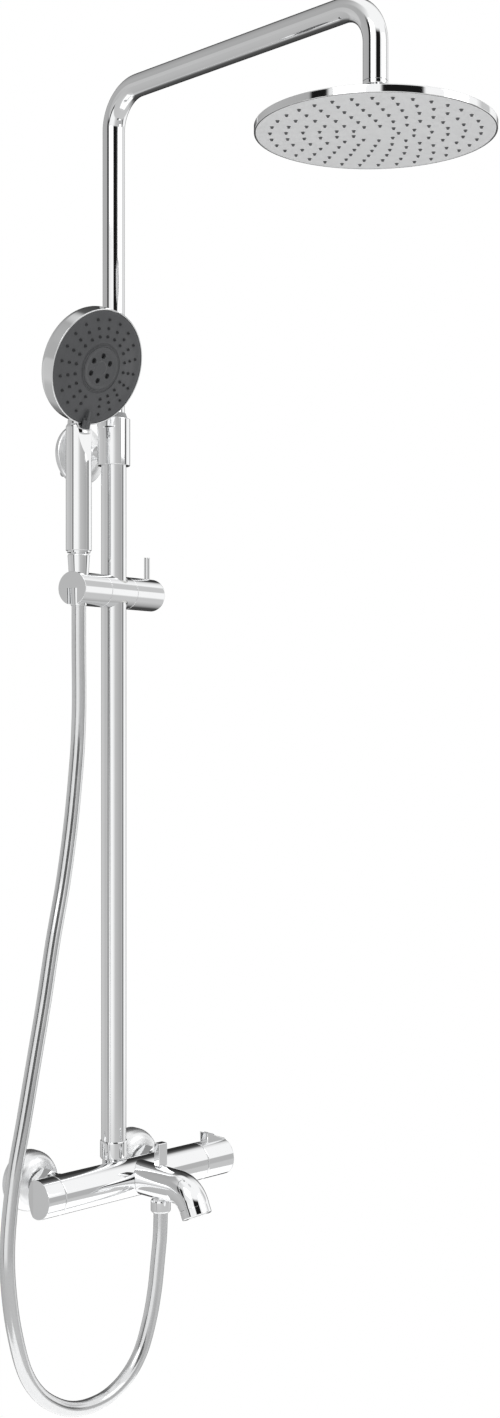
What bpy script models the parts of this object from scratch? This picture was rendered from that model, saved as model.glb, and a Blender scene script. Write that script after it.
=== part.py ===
"""Rainfall shower column: mixer, telescopic column with bent arm, rain head, slider, handset and hose.

The wall is the plane Y = 0, the room is towards -Y and +Z is up. The origin is on the wall, midway between
the two inlets, at the height of the mixer's axis.
"""

import math

import bmesh
import bpy
from mathutils import Matrix, Quaternion, Vector

MM = 0.001
GAP = 0.3 * MM

# Mixer
INLET_PITCH = 150 * MM
MIXER_Y = -76 * MM
BODY_R = 21 * MM
BODY_LEFT = -INLET_PITCH / 2 - 22 * MM
BODY_RIGHT = INLET_PITCH / 2 + 38 * MM
FLOW_HANDLE_LENGTH = 24 * MM
THERMOSTAT_HANDLE_LENGTH = 41.5 * MM
HANDLE_WALL = 3 * MM
CARTRIDGE_R = 15 * MM
FLOW_CARTRIDGE_LENGTH = 30 * MM
THERMOSTAT_CARTRIDGE_LENGTH = 44 * MM
CARTRIDGE_STEM_R = 4.5 * MM
CARTRIDGE_STEM_LENGTH = 12 * MM
BODY_BORE_R = 9 * MM
SPOUT_FEED_R = 7.5 * MM
RISER_FEED_R = 6.5 * MM
GRIP_FACET_ANGLE = math.radians(20)
GRIP_FACET_OFFSET = 6 * MM

# The thermostat handle's lug and its safety button
LUG_START = 11.5 * MM
LUG_LENGTH = 29.5 * MM
LUG_WIDTH = 13 * MM
LUG_HEIGHT = 10.5 * MM
LUG_SLOPE = math.radians(20)
BUTTON_AT = 9 * MM
BUTTON_LENGTH = 11 * MM
BUTTON_WIDTH = 8 * MM
BUTTON_WELL = 6 * MM
BUTTON_PROUD = 1.2 * MM
SPRING_HEIGHT = 3.6 * MM
SPRING_R = 2.2 * MM
SPRING_WIRE_R = 0.35 * MM

# Inlets
ROSETTE_R = 33.3 * MM
ROSETTE_DEPTH = 25 * MM
ROSETTE_EDGE = 8 * MM
SHEET = 1.2 * MM
UNION_R = 9.5 * MM
UNION_BORE_R = 7 * MM
UNION_FLANGE_R = 12.5 * MM
UNION_REACH = 34 * MM
UNION_IN_WALL = 12 * MM
UNION_NUT_R = 15.5 * MM
UNION_NUT_LENGTH = 17 * MM
INLET_SPIGOT_R = 11 * MM
WASHER = 2 * MM

# Spout and diverter
SPOUT_X = 18 * MM
SPOUT_Z = 1.5 * MM
SPOUT_ROOT_R = 18.5 * MM
SPOUT_END_R = 16.5 * MM
SPOUT_BORE_R = 12.5 * MM
SPOUT_STRAIGHT_TO = -147 * MM
SPOUT_BEND_R = 28 * MM
SPOUT_BEND = math.radians(68)
AERATOR_LENGTH = 10 * MM
DIVERTER_Y = -119 * MM
DIVERTER_WIDTH = 12 * MM
DIVERTER_DEPTH = 9 * MM
DIVERTER_HEIGHT = 25 * MM
DIVERTER_STEM_R = 3.5 * MM
DIVERTER_VALVE_R = 7.5 * MM

# Hose
HOSE_R = 7.8 * MM
NIPPLE_R = HOSE_R + 0.7 * MM
NIPPLE_BORE_R = 5.5 * MM
OUTLET_NUT_R = NIPPLE_R + 2.5 * MM
OUTLET_NUT_LENGTH = 12.5 * MM
HOSE_ROUTE_MM = (
    (-64.4, -77.7, 636.5), (-64.6, -78, 586), (-65, -79, 532), (-67, -80, 497), (-71, -82, 465),
    (-82, -86, 401), (-97, -91, 338), (-116, -97, 276), (-133, -103, 215), (-151, -109, 156),
    (-169, -115, 97), (-184, -119, 46), (-193, -122, 3), (-197, -124, -32), (-196, -125, -67),
    (-190, -126, -109), (-177, -126, -153), (-158, -125, -182), (-134, -124, -201), (-109, -123, -212),
    (-82, -122, -215), (-56, -121, -211), (-31, -120, -198), (-12, -119.5, -177), (1, -119, -147),
    (9, -119, -115), (14, -119, -80), (17, -119, -55), (18, -119, -29.5),
)
HOSE_POINTS = 64

# Column
RISER_Y = -61 * MM
LOWER_TUBE_R = 14 * MM
UPPER_TUBE_R = 12.3 * MM
TUBE_WALL = 1.2 * MM
LOWER_TUBE_TOP = 834 * MM
UPPER_TUBE_INSERT = 90 * MM
ARM_Z = 1208 * MM
ARM_REACH = 385 * MM
ARM_BEND_R = 42 * MM
ARM_DROP_END = ARM_Z - 80 * MM
RISER_NUT_R = LOWER_TUBE_R + 1.2 * MM
RISER_NUT_FOOT = BODY_R + 0.6 * MM
RISER_NUT_LENGTH = 20 * MM
LOWER_TUBE_FOOT = RISER_NUT_FOOT + 8.5 * MM
RISER_SPIGOT_R = LOWER_TUBE_R - 3.5 * MM
COLLAR_R = LOWER_TUBE_R + 4.25 * MM
COLLAR_FOOT = LOWER_TUBE_TOP - 41 * MM
COLLAR_LENGTH = 52.5 * MM
GASKET_HEIGHT = 6 * MM
BRACKET_Z = COLLAR_FOOT + 18 * MM
BRACKET_ARM_R = 8 * MM
BRACKET_ROSETTE_R = 34.2 * MM
BRACKET_ROSETTE_DEPTH = 9 * MM
WALL_PLATE_R = 27 * MM
WALL_PLATE = 3.5 * MM
WALL_SCREW_SPACING = 36 * MM
WALL_SCREW_R = 2.2 * MM
WALL_SCREW_LENGTH = 32 * MM

# Rain head
HEAD_R = 117.5 * MM
HEAD_RIM = 7.6 * MM
HEAD_DOME = 5 * MM
NOZZLE_PLATE = 1.6 * MM
NOZZLE_MAT = 1.5 * MM
BALL_Z = ARM_DROP_END - 22 * MM
HEAD_FACE_Z = BALL_Z - 27.7 * MM
BALL_R = 8 * MM
BALL_STEM_R = 4.5 * MM
SEAT_WALL = 2.2 * MM
SEAT_HALF_HEIGHT = 5.5 * MM
HEAD_TILT_ROOM = math.radians(9.5)
CUP_WALL = 2.2 * MM
SWIVEL_NUT_WALL = 2.4 * MM
SWIVEL_NUT_TOP = 11 * MM
SWIVEL_NUT_OPENING_R = 7.6 * MM

# Slider, which is turned a little on the column
SLIDER_Z = 652.5 * MM
SLIDER_TURN = math.radians(14.5)
SLIDER_R = LOWER_TUBE_R + 4.25 * MM
SLIDER_LEFT = -79 * MM
SLIDER_RIGHT = 79 * MM
SLIDER_BODY_LEFT = -28 * MM
SLIDER_BODY_RIGHT = 22 * MM
SLEEVE_HALF_HEIGHT = 12 * MM
BUSH_WALL = 1 * MM
HANDSET_AT = -66.5 * MM
LEVER_PIN_AT = 67 * MM
LEVER_PIN_R = 3.3 * MM
LEVER_PIN_TOP = 43 * MM
AXLE_R = 4 * MM
SHOE_R = 5 * MM
HOLDER_SLOT = 13 * MM

# Conical nut and handset
HANDSET_THREAD_R = HOSE_R + 0.7 * MM
CONE_TOP_R = HANDSET_THREAD_R + 3.7 * MM
CONE_FOOT_R = HOSE_R + 0.8 * MM
CONE_LENGTH = 55.5 * MM
CONE_TOP = SLIDER_Z + 37 * MM
CONE_FOOT = CONE_TOP - CONE_LENGTH
HANDLE_R = 14 * MM
HANDLE_LENGTH = 135 * MM
HANDLE_FOOT = CONE_TOP + 3.5 * MM
HANDLE_TOP = HANDLE_FOOT + HANDLE_LENGTH
HANDLE_BORE_R = 7 * MM
HANDSET_FACING = math.radians(2.6)
HANDSET_TILT = math.radians(20.5)
HANDSET_HEAD_R = 62.9 * MM
HANDSET_HEAD_DEPTH = 23 * MM
HANDSET_BACK_EDGE = 8 * MM
HANDSET_FACE_FORWARD = 30.4 * MM
HANDSET_FACE_Z = HANDLE_TOP + 60.3 * MM
HANDSET_RIM = 1.35 * MM
FACE_DEPTH = 5.5 * MM
FACE_DOME = 4.8 * MM
SPRAY_DISC_R = 23 * MM
SPRAY_HOLES = 6
SPRAY_HOLE_R = 2.6 * MM
SPRAY_HOLE_CIRCLE_R = 13 * MM
TAB_WIDTH = 11 * MM
TAB_FROM = 48 * MM
TAB_TO = HANDSET_HEAD_R + 4 * MM
TAB_LIFT = 2 * MM
TAB_THICK = 3 * MM
GRIP_CUT_Z = HANDLE_TOP - 32 * MM
GRIP_CUT_TURN = math.radians(10.5)

FINE = 36
ROUND = 24
COARSE = 14

INLET_XS = {"left": -INLET_PITCH / 2, "right": INLET_PITCH / 2}
X_AXIS = Vector((1, 0, 0))
OUT = Vector((0, -1, 0))
UP = Vector((0, 0, 1))


def clear_scene():
    for obj in list(bpy.data.objects):
        bpy.data.objects.remove(obj, do_unlink=True)


def collection(name):
    made = bpy.data.collections.new(name)
    bpy.context.scene.collection.children.link(made)
    return made


def finish(name, colour, metallic, roughness):
    """A material with one Principled shader."""
    made = bpy.data.materials.new(name)
    made.use_nodes = True
    shader = made.node_tree.nodes["Principled BSDF"]
    shader.inputs["Base Color"].default_value = (*colour, 1)
    shader.inputs["Metallic"].default_value = metallic
    shader.inputs["Roughness"].default_value = roughness
    made.diffuse_color = (*colour, 1)
    return made


def add(name, data, material, parent=None):
    """An object of the column, shaded smooth except at sharp edges."""
    obj = bpy.data.objects.new(name, data)
    PARTS.objects.link(obj)
    data.materials.append(material)
    if isinstance(data, bpy.types.Mesh):
        data.shade_smooth()
        data.set_sharp_from_angle(angle=math.radians(35))
    obj.parent = parent
    return obj


def frame_at(name, location, rotation=None, parent=None):
    """An empty that stands for a local frame."""
    obj = bpy.data.objects.new(name, None)
    PARTS.objects.link(obj)
    obj.rotation_mode = "QUATERNION"
    obj.location = location
    obj.rotation_quaternion = rotation or Quaternion()
    obj.parent = parent
    return obj


def hide(obj):
    """Makes an object a helper that only cuts or joins."""
    PARTS.objects.unlink(obj)
    CUTTERS.objects.link(obj)
    obj.hide_render = True
    obj.display_type = "WIRE"
    return obj


def place(obj, at, axis=UP):
    """Puts an object's local Z along axis, at a point."""
    obj.rotation_mode = "QUATERNION"
    obj.rotation_quaternion = UP.rotation_difference(Vector(axis))
    obj.location = at
    return obj


def turned(name, profile, material, at=(0, 0, 0), axis=UP, steps=ROUND, parent=None):
    """A turned piece: profile holds (radius, height) points, and closes by itself or on the axis."""
    points = list(profile)
    area = sum(
        a[0] * b[1] - b[0] * a[1] for a, b in zip(points, points[1:] + points[:1])
    )
    if area > 0:
        points.reverse()
    on_axis = [i for i, point in enumerate(points) if point[0] == 0]
    if on_axis:
        start = next(i for i in on_axis if points[i - 1][0] == 0) if len(on_axis) > 1 else on_axis[0]
        points = points[start:] + points[:start]
    count = len(points)
    edges = [(i, i + 1) for i in range(count - 1)]
    if not on_axis:
        edges.append((count - 1, 0))
    mesh = bpy.data.meshes.new(name)
    mesh.from_pydata([(radius, 0, height) for radius, height in points], edges, [])
    obj = place(add(name, mesh, material, parent), at, axis)
    screw = obj.modifiers.new("Turn", "SCREW")
    screw.steps = screw.render_steps = steps
    screw.use_merge_vertices = True
    screw.merge_threshold = 0.00001
    screw.use_smooth_shade = True
    return obj


def ring(name, inner, outer, foot, top, material, **options):
    """A turned ring with a rectangular section."""
    return turned(name, ((inner, foot), (outer, foot), (outer, top), (inner, top)), material, **options)


def rod(name, radius, foot, top, material, **options):
    """A plain round bar from foot to top along its axis."""
    return turned(name, ((0, foot), (radius, foot), (radius, top), (0, top)), material, **options)


def prism(name, sides, radius, foot, top, material, at=(0, 0, 0), axis=UP, parent=None):
    """A regular prism, such as a hexagon nut's outside."""
    mesh = bpy.data.meshes.new(name)
    shape = bmesh.new()
    bmesh.ops.create_cone(
        shape, cap_ends=True, segments=sides, radius1=radius, radius2=radius, depth=top - foot,
        matrix=Matrix.Translation((0, 0, (foot + top) / 2)),
    )
    shape.to_mesh(mesh)
    shape.free()
    return place(add(name, mesh, material, parent), at, axis)


def box(name, low, high, material, parent=None, edge=0.0):
    """A box between two corners, with rounded edges where edge is given."""
    low, high = Vector(low), Vector(high)
    mesh = bpy.data.meshes.new(name)
    shape = bmesh.new()
    bmesh.ops.create_cube(
        shape, size=1, matrix=Matrix.Translation((low + high) / 2) @ Matrix.Diagonal((*(high - low), 1))
    )
    shape.to_mesh(mesh)
    shape.free()
    obj = add(name, mesh, material, parent)
    if edge:
        bevel = obj.modifiers.new("Round", "BEVEL")
        bevel.width = edge
        bevel.segments = 2
    return obj


def sweep(name, points, radii, material, sides=24, parent=None):
    """A round bar along points, made from a bevelled curve and kept as a welded mesh."""
    curve = bpy.data.curves.new(name, "CURVE")
    curve.dimensions = "3D"
    curve.bevel_depth = 1
    curve.bevel_resolution = sides // 2 - 2
    curve.use_fill_caps = True
    spline = curve.splines.new("POLY")
    spline.points.add(len(points) - 1)
    for knot, point, radius in zip(spline.points, points, radii):
        knot.co = (*point, 1)
        knot.radius = radius
    guide = bpy.data.objects.new(name + "_guide", curve)
    PARTS.objects.link(guide)
    bpy.context.view_layer.update()
    evaluated = guide.evaluated_get(bpy.context.evaluated_depsgraph_get())
    mesh = bpy.data.meshes.new_from_object(evaluated)
    mesh.name = name
    bpy.data.objects.remove(guide, do_unlink=True)
    shape = bmesh.new()
    shape.from_mesh(mesh)
    bmesh.ops.remove_doubles(shape, verts=shape.verts, dist=0.00001)
    bmesh.ops.recalc_face_normals(shape, faces=shape.faces)
    shape.to_mesh(mesh)
    shape.free()
    mesh.materials.clear()
    return add(name, mesh, material, parent)


def combine(obj, other, operation):
    """Adds a Boolean of another object, which becomes a helper."""
    boolean = obj.modifiers.new(other.name, "BOOLEAN")
    boolean.solver = "EXACT"
    boolean.operation = operation
    boolean.object = hide(other)
    return obj


def cut(obj, *others):
    for other in others:
        combine(obj, other, "DIFFERENCE")
    return obj


def join(obj, *others):
    for other in others:
        combine(obj, other, "UNION")
    return obj


def cylinder_cut(obj, radius, start, end, steps=ROUND, parent=None):
    """Cuts a round hole from start to end."""
    start, end = Vector(start), Vector(end)
    label = f"{obj.name}_hole_{len(obj.modifiers)}"
    return cut(
        obj, rod(label, radius, 0, (end - start).length, RUBBER, at=start, axis=end - start, steps=steps, parent=parent)
    )


def arc(centre, radius, start, end, count):
    """Points (a, b) along an arc, with angles in radians."""
    return [
        (
            centre[0] + radius * math.cos(start + (end - start) * i / count),
            centre[1] + radius * math.sin(start + (end - start) * i / count),
        )
        for i in range(count + 1)
    ]


def build_body():
    """The mixer's casting, with its inlets, riser boss and cartridge bores."""
    body = rod("mixer_body", BODY_R, BODY_LEFT, BODY_RIGHT, CHROME, at=(0, MIXER_Y, 0), axis=X_AXIS, steps=FINE)
    for side, x in INLET_XS.items():
        start = -UNION_REACH - WASHER - 2 * GAP
        join(
            body,
            rod(f"spigot_{side}", INLET_SPIGOT_R, -start, -MIXER_Y, BRASS, at=(x, 0, 0), axis=OUT),
        )
    join(
        body,
        rod("riser_boss", RISER_NUT_R - 2.2 * MM, 0, RISER_NUT_FOOT - GAP, BRASS, at=(0, RISER_Y, 0)),
        rod("riser_spigot", RISER_SPIGOT_R, 3 * MM, LOWER_TUBE_FOOT - WASHER - 2 * GAP, BRASS, at=(0, RISER_Y, 0)),
    )
    left_depth = FLOW_CARTRIDGE_LENGTH + GAP
    right_depth = THERMOSTAT_CARTRIDGE_LENGTH + GAP
    bore = CARTRIDGE_R + GAP
    cylinder_cut(body, bore, (BODY_LEFT - MM, MIXER_Y, 0), (BODY_LEFT + left_depth, MIXER_Y, 0))
    cylinder_cut(body, bore, (BODY_RIGHT + MM, MIXER_Y, 0), (BODY_RIGHT - right_depth, MIXER_Y, 0))
    cylinder_cut(
        body, BODY_BORE_R, (BODY_LEFT + left_depth - MM, MIXER_Y, 0), (BODY_RIGHT - right_depth + MM, MIXER_Y, 0), COARSE
    )
    cylinder_cut(body, SPOUT_FEED_R, (SPOUT_X, MIXER_Y - BODY_R - MM, 0), (SPOUT_X, MIXER_Y, 0), COARSE)
    cylinder_cut(body, RISER_FEED_R, (0, RISER_Y, LOWER_TUBE_FOOT), (0, RISER_Y, 0), COARSE)
    for x in INLET_XS.values():
        cylinder_cut(body, UNION_BORE_R, (x, -UNION_REACH, 0), (x, MIXER_Y, 0), COARSE)


def build_inlets():
    """What joins the mixer to the wall, once at each side."""
    edge = arc((ROSETTE_R - ROSETTE_EDGE, ROSETTE_DEPTH - ROSETTE_EDGE), ROSETTE_EDGE, 0, math.pi / 2, 5)
    inner_edge = arc(
        (ROSETTE_R - ROSETTE_EDGE, ROSETTE_DEPTH - ROSETTE_EDGE), ROSETTE_EDGE - SHEET, math.pi / 2, 0, 4
    )
    hole = UNION_R + 3 * GAP
    rosette = (
        [(ROSETTE_R, 0)] + edge + [(hole, ROSETTE_DEPTH), (hole, ROSETTE_DEPTH - SHEET)] + inner_edge
        + [(ROSETTE_R - SHEET, 0)]
    )
    flange = UNION_REACH - 3 * MM
    union = (
        (UNION_BORE_R, -UNION_IN_WALL), (UNION_R, -UNION_IN_WALL), (UNION_R, flange), (UNION_FLANGE_R, flange),
        (UNION_FLANGE_R, UNION_REACH), (UNION_BORE_R, UNION_REACH),
    )
    nut_start = flange - 2.5 * MM - GAP
    for side, x in INLET_XS.items():
        at = (x, 0, 0)
        turned(f"wall_rosette_{side}", rosette, CHROME, at=at, axis=OUT, steps=FINE)
        turned(f"wall_union_{side}", union, BRASS, at=at, axis=OUT)
        ring(
            f"filter_washer_{side}", UNION_BORE_R, INLET_SPIGOT_R - GAP, UNION_REACH + GAP,
            UNION_REACH + GAP + WASHER, RUBBER, at=at, axis=OUT, steps=COARSE,
        )
        nut = prism(
            f"union_nut_{side}", 6, UNION_NUT_R / math.cos(math.pi / 6), nut_start, nut_start + UNION_NUT_LENGTH,
            CHROME, at=at, axis=OUT,
        )
        cut(
            nut,
            rod(f"nut_lip_hole_{side}", UNION_R + GAP, nut_start - MM, flange, RUBBER, at=at, axis=OUT),
            rod(
                f"nut_thread_{side}", UNION_FLANGE_R + GAP, flange - GAP, nut_start + UNION_NUT_LENGTH + MM,
                RUBBER, at=at, axis=OUT,
            ),
        )


def cartridge_profile(length):
    """A cartridge seen from its inner end, with its stem outwards."""
    return (
        (0, 0), (CARTRIDGE_R, 0), (CARTRIDGE_R, length), (CARTRIDGE_R - 3 * MM, length),
        (CARTRIDGE_R - 3 * MM, length + 2 * MM), (CARTRIDGE_STEM_R, length + 2 * MM),
        (CARTRIDGE_STEM_R, length + CARTRIDGE_STEM_LENGTH), (0, length + CARTRIDGE_STEM_LENGTH),
    )


def build_flow_side():
    """The left handle with its grip facet, and the ceramic cartridge that it turns."""
    left = -X_AXIS
    start = -BODY_LEFT
    length = FLOW_HANDLE_LENGTH - GAP
    handle = turned(
        "flow_handle", socket_handle(length, 1 * MM), CHROME, at=(-start - GAP, MIXER_Y, 0), axis=left, steps=FINE
    )
    facet = box("grip_facet", (-40 * MM, 0, -40 * MM), (0, 40 * MM, 40 * MM), RUBBER)
    facet.location = (BODY_LEFT - FLOW_HANDLE_LENGTH, MIXER_Y + GRIP_FACET_OFFSET, 0)
    facet.rotation_euler = (0, 0, -GRIP_FACET_ANGLE)
    cut(handle, facet)
    turned(
        "flow_cartridge", cartridge_profile(FLOW_CARTRIDGE_LENGTH), CERAMIC,
        at=(BODY_LEFT + FLOW_CARTRIDGE_LENGTH, MIXER_Y, 0), axis=left,
    )


def socket_handle(length, edge):
    """A handle's profile: a cup over the cartridge's collar, with a socket for its stem."""
    inner = BODY_R - HANDLE_WALL
    stem = CARTRIDGE_STEM_R + GAP
    socket_end = CARTRIDGE_STEM_LENGTH + GAP
    socket_start = 4 * MM
    hub = stem + 3 * MM
    deep = min(length - HANDLE_WALL, socket_end + 2 * MM)
    return (
        [(inner, 0), (BODY_R, 0)] + arc((BODY_R - edge, length - edge), edge, 0, math.pi / 2, 4)
        + [(0, length), (0, socket_end), (stem, socket_end), (stem, socket_start), (hub, socket_start)]
        + [(hub, deep), (inner, deep)]
    )


def build_thermostat_side():
    """The right handle with its lug and sprung safety button, and the thermostat cartridge."""
    length = THERMOSTAT_HANDLE_LENGTH - GAP
    start = BODY_RIGHT + GAP
    handle = turned(
        "thermostat_handle", socket_handle(length, 2.5 * MM), CHROME, at=(start, MIXER_Y, 0), axis=X_AXIS, steps=FINE
    )
    lug = box(
        "handle_lug", (start + LUG_START, MIXER_Y - LUG_WIDTH / 2, BODY_R - 2.5 * MM),
        (start + LUG_START + LUG_LENGTH, MIXER_Y + LUG_WIDTH / 2, BODY_R + LUG_HEIGHT), CHROME, edge=1.2 * MM,
    )
    slope = box("lug_slope", (0, -40 * MM, 0), (60 * MM, 40 * MM, 30 * MM), RUBBER)
    slope.location = (start + LUG_START, MIXER_Y, BODY_R + LUG_HEIGHT)
    slope.rotation_euler = (0, LUG_SLOPE, 0)
    cut(lug, slope)
    join(handle, lug)
    frame = frame_at(
        "button_frame", (start + LUG_START, MIXER_Y, BODY_R + LUG_HEIGHT), Quaternion((0, 1, 0), LUG_SLOPE)
    )
    centre = BUTTON_AT
    half = (BUTTON_LENGTH / 2, BUTTON_WIDTH / 2)
    well = box(
        "button_well", (centre - half[0] - GAP, -half[1] - GAP, -BUTTON_WELL), (centre + half[0] + GAP, half[1] + GAP, 5 * MM),
        RUBBER, parent=frame,
    )
    cut(handle, well)
    box(
        "safety_button", (centre - half[0], -half[1], -BUTTON_WELL + SPRING_HEIGHT + 2 * GAP),
        (centre + half[0], half[1], BUTTON_PROUD), RED, parent=frame, edge=0.7 * MM,
    )
    turns, per_turn = 3, 10
    count = turns * per_turn
    sweep(
        "button_spring",
        [
            (
                centre + SPRING_R * math.cos(2 * math.pi * i / per_turn),
                SPRING_R * math.sin(2 * math.pi * i / per_turn),
                -BUTTON_WELL + GAP + SPRING_WIRE_R + (SPRING_HEIGHT - 2 * SPRING_WIRE_R) * i / count,
            )
            for i in range(count + 1)
        ],
        [SPRING_WIRE_R] * (count + 1), STEEL, sides=8, parent=frame,
    )
    turned(
        "thermostat_cartridge", cartridge_profile(THERMOSTAT_CARTRIDGE_LENGTH), BRASS,
        at=(BODY_RIGHT - THERMOSTAT_CARTRIDGE_LENGTH, MIXER_Y, 0), axis=X_AXIS,
    )
    ring(
        "stop_ring", CARTRIDGE_R - 3 * MM + GAP, BODY_R - HANDLE_WALL - GAP, GAP, 2 * MM, NYLON,
        at=(BODY_RIGHT, MIXER_Y, 0), axis=X_AXIS,
    )


def spout_line(start_y):
    """The spout's centreline from start_y to its mouth, as points and the mouth's direction."""
    bend = arc((SPOUT_STRAIGHT_TO, SPOUT_Z - SPOUT_BEND_R), SPOUT_BEND_R, math.pi / 2, math.pi / 2 + SPOUT_BEND, 10)
    straight = [(start_y + (SPOUT_STRAIGHT_TO - start_y) * i / 3, SPOUT_Z) for i in range(3)]
    points = [Vector((SPOUT_X, y, z)) for y, z in straight + bend]
    return points, (points[-1] - points[-2]).normalized()


def build_spout():
    """The spout with its aerator, the diverter above it and the hose's nipple below it."""
    points, direction = spout_line(MIXER_Y)
    last = len(points) - 1
    radii = [SPOUT_ROOT_R + (SPOUT_END_R - SPOUT_ROOT_R) * i / last for i in range(last + 1)]
    spout = sweep("spout", points, radii, CHROME, sides=24)
    top = SPOUT_Z + SPOUT_ROOT_R
    foot = SPOUT_Z - SPOUT_ROOT_R
    axis_at = (SPOUT_X, DIVERTER_Y, 0)
    inside = points + [points[-1] + direction * 5 * MM]
    cut(
        spout,
        rod("body_seat", BODY_R + GAP, -40 * MM, 80 * MM, RUBBER, at=(0, MIXER_Y, 0), axis=X_AXIS, steps=FINE),
        rod("stem_hole", DIVERTER_STEM_R + GAP, SPOUT_Z, top + 5 * MM, RUBBER, at=axis_at, steps=COARSE),
        rod("nipple_hole", NIPPLE_R + GAP, foot - 5 * MM, SPOUT_Z - MM, RUBBER, at=axis_at),
        sweep("spout_bore", inside, [SPOUT_BORE_R] * len(inside), RUBBER, sides=16),
    )
    mouth = points[-1]
    lip = SPOUT_END_R
    inner = SPOUT_BORE_R
    turned(
        "aerator_housing",
        ((inner - 1.5 * MM, -4 * MM), (inner - GAP, -4 * MM), (inner - GAP, GAP), (lip, GAP), (lip, AERATOR_LENGTH - MM),
         (lip - MM, AERATOR_LENGTH), (inner - 1.5 * MM, AERATOR_LENGTH)),
        CHROME, at=mouth, axis=direction, steps=FINE,
    )
    rod(
        "aerator_insert", inner - 1.5 * MM - GAP, -2 * MM, AERATOR_LENGTH - 1.5 * MM, NYLON, at=mouth, axis=direction,
        steps=COARSE,
    )
    knob = box(
        "diverter_knob", (SPOUT_X - DIVERTER_WIDTH / 2, DIVERTER_Y - DIVERTER_DEPTH / 2, top + 2 * GAP),
        (SPOUT_X + DIVERTER_WIDTH / 2, DIVERTER_Y + DIVERTER_DEPTH / 2, top + DIVERTER_HEIGHT), CHROME, edge=1 * MM,
    )
    valve_top = SPOUT_Z + 5 * MM
    join(knob, rod("diverter_stem", DIVERTER_STEM_R, valve_top + GAP, top + 4 * MM, CHROME, at=axis_at, steps=COARSE))
    nipple_top = foot + 6 * MM
    rod("diverter_valve", DIVERTER_VALVE_R, nipple_top + GAP, valve_top, BRASS, at=axis_at, steps=COARSE)
    nipple_foot = foot - 10 * MM
    ring("hose_nipple", NIPPLE_BORE_R, NIPPLE_R, nipple_foot, nipple_top, BRASS, at=axis_at, steps=COARSE)
    nut_top = foot - 1.6 * MM
    turned(
        "outlet_nut",
        ((NIPPLE_R + GAP, nut_top), (OUTLET_NUT_R, nut_top), (OUTLET_NUT_R, nut_top - OUTLET_NUT_LENGTH + MM),
         (OUTLET_NUT_R - MM, nut_top - OUTLET_NUT_LENGTH), (NIPPLE_R + GAP, nut_top - OUTLET_NUT_LENGTH)),
        CHROME, at=axis_at,
    )
    ring(
        "outlet_washer", NIPPLE_BORE_R, NIPPLE_R - GAP, nipple_foot - GAP - 1.4 * MM, nipple_foot - GAP, RUBBER,
        at=axis_at, steps=COARSE,
    )


def smooth_route(points, count):
    """Points evenly spread on a smooth curve through the given points."""
    ends = [2 * points[0] - points[1]] + points + [2 * points[-1] - points[-2]]
    dense = []
    for a, b, c, d in zip(ends, ends[1:], ends[2:], ends[3:]):
        for i in range(16):
            t = i / 16
            dense.append(
                0.5 * (2 * b + (c - a) * t + (2 * a - 5 * b + 4 * c - d) * t**2 + (3 * b - a - 3 * c + d) * t**3)
            )
    dense.append(points[-1])
    lengths = [0.0]
    for a, b in zip(dense, dense[1:]):
        lengths.append(lengths[-1] + (b - a).length)
    route, at = [], 0
    for i in range(count):
        target = lengths[-1] * i / (count - 1)
        while at < len(lengths) - 2 and lengths[at + 1] < target:
            at += 1
        share = (target - lengths[at]) / (lengths[at + 1] - lengths[at])
        route.append(dense[at].lerp(dense[at + 1], share))
    return route


def build_hose():
    """The free hose, from the conical nut to the outlet nut."""
    route = smooth_route([Vector(point) * MM for point in HOSE_ROUTE_MM], HOSE_POINTS)
    curve = bpy.data.curves.new("shower_hose", "CURVE")
    curve.dimensions = "3D"
    curve.bevel_depth = HOSE_R
    curve.bevel_resolution = 3
    curve.use_fill_caps = True
    spline = curve.splines.new("POLY")
    spline.points.add(len(route) - 1)
    for knot, point in zip(spline.points, route):
        knot.co = (*point, 1)
    add("shower_hose", curve, HOSE_SILVER)


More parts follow.
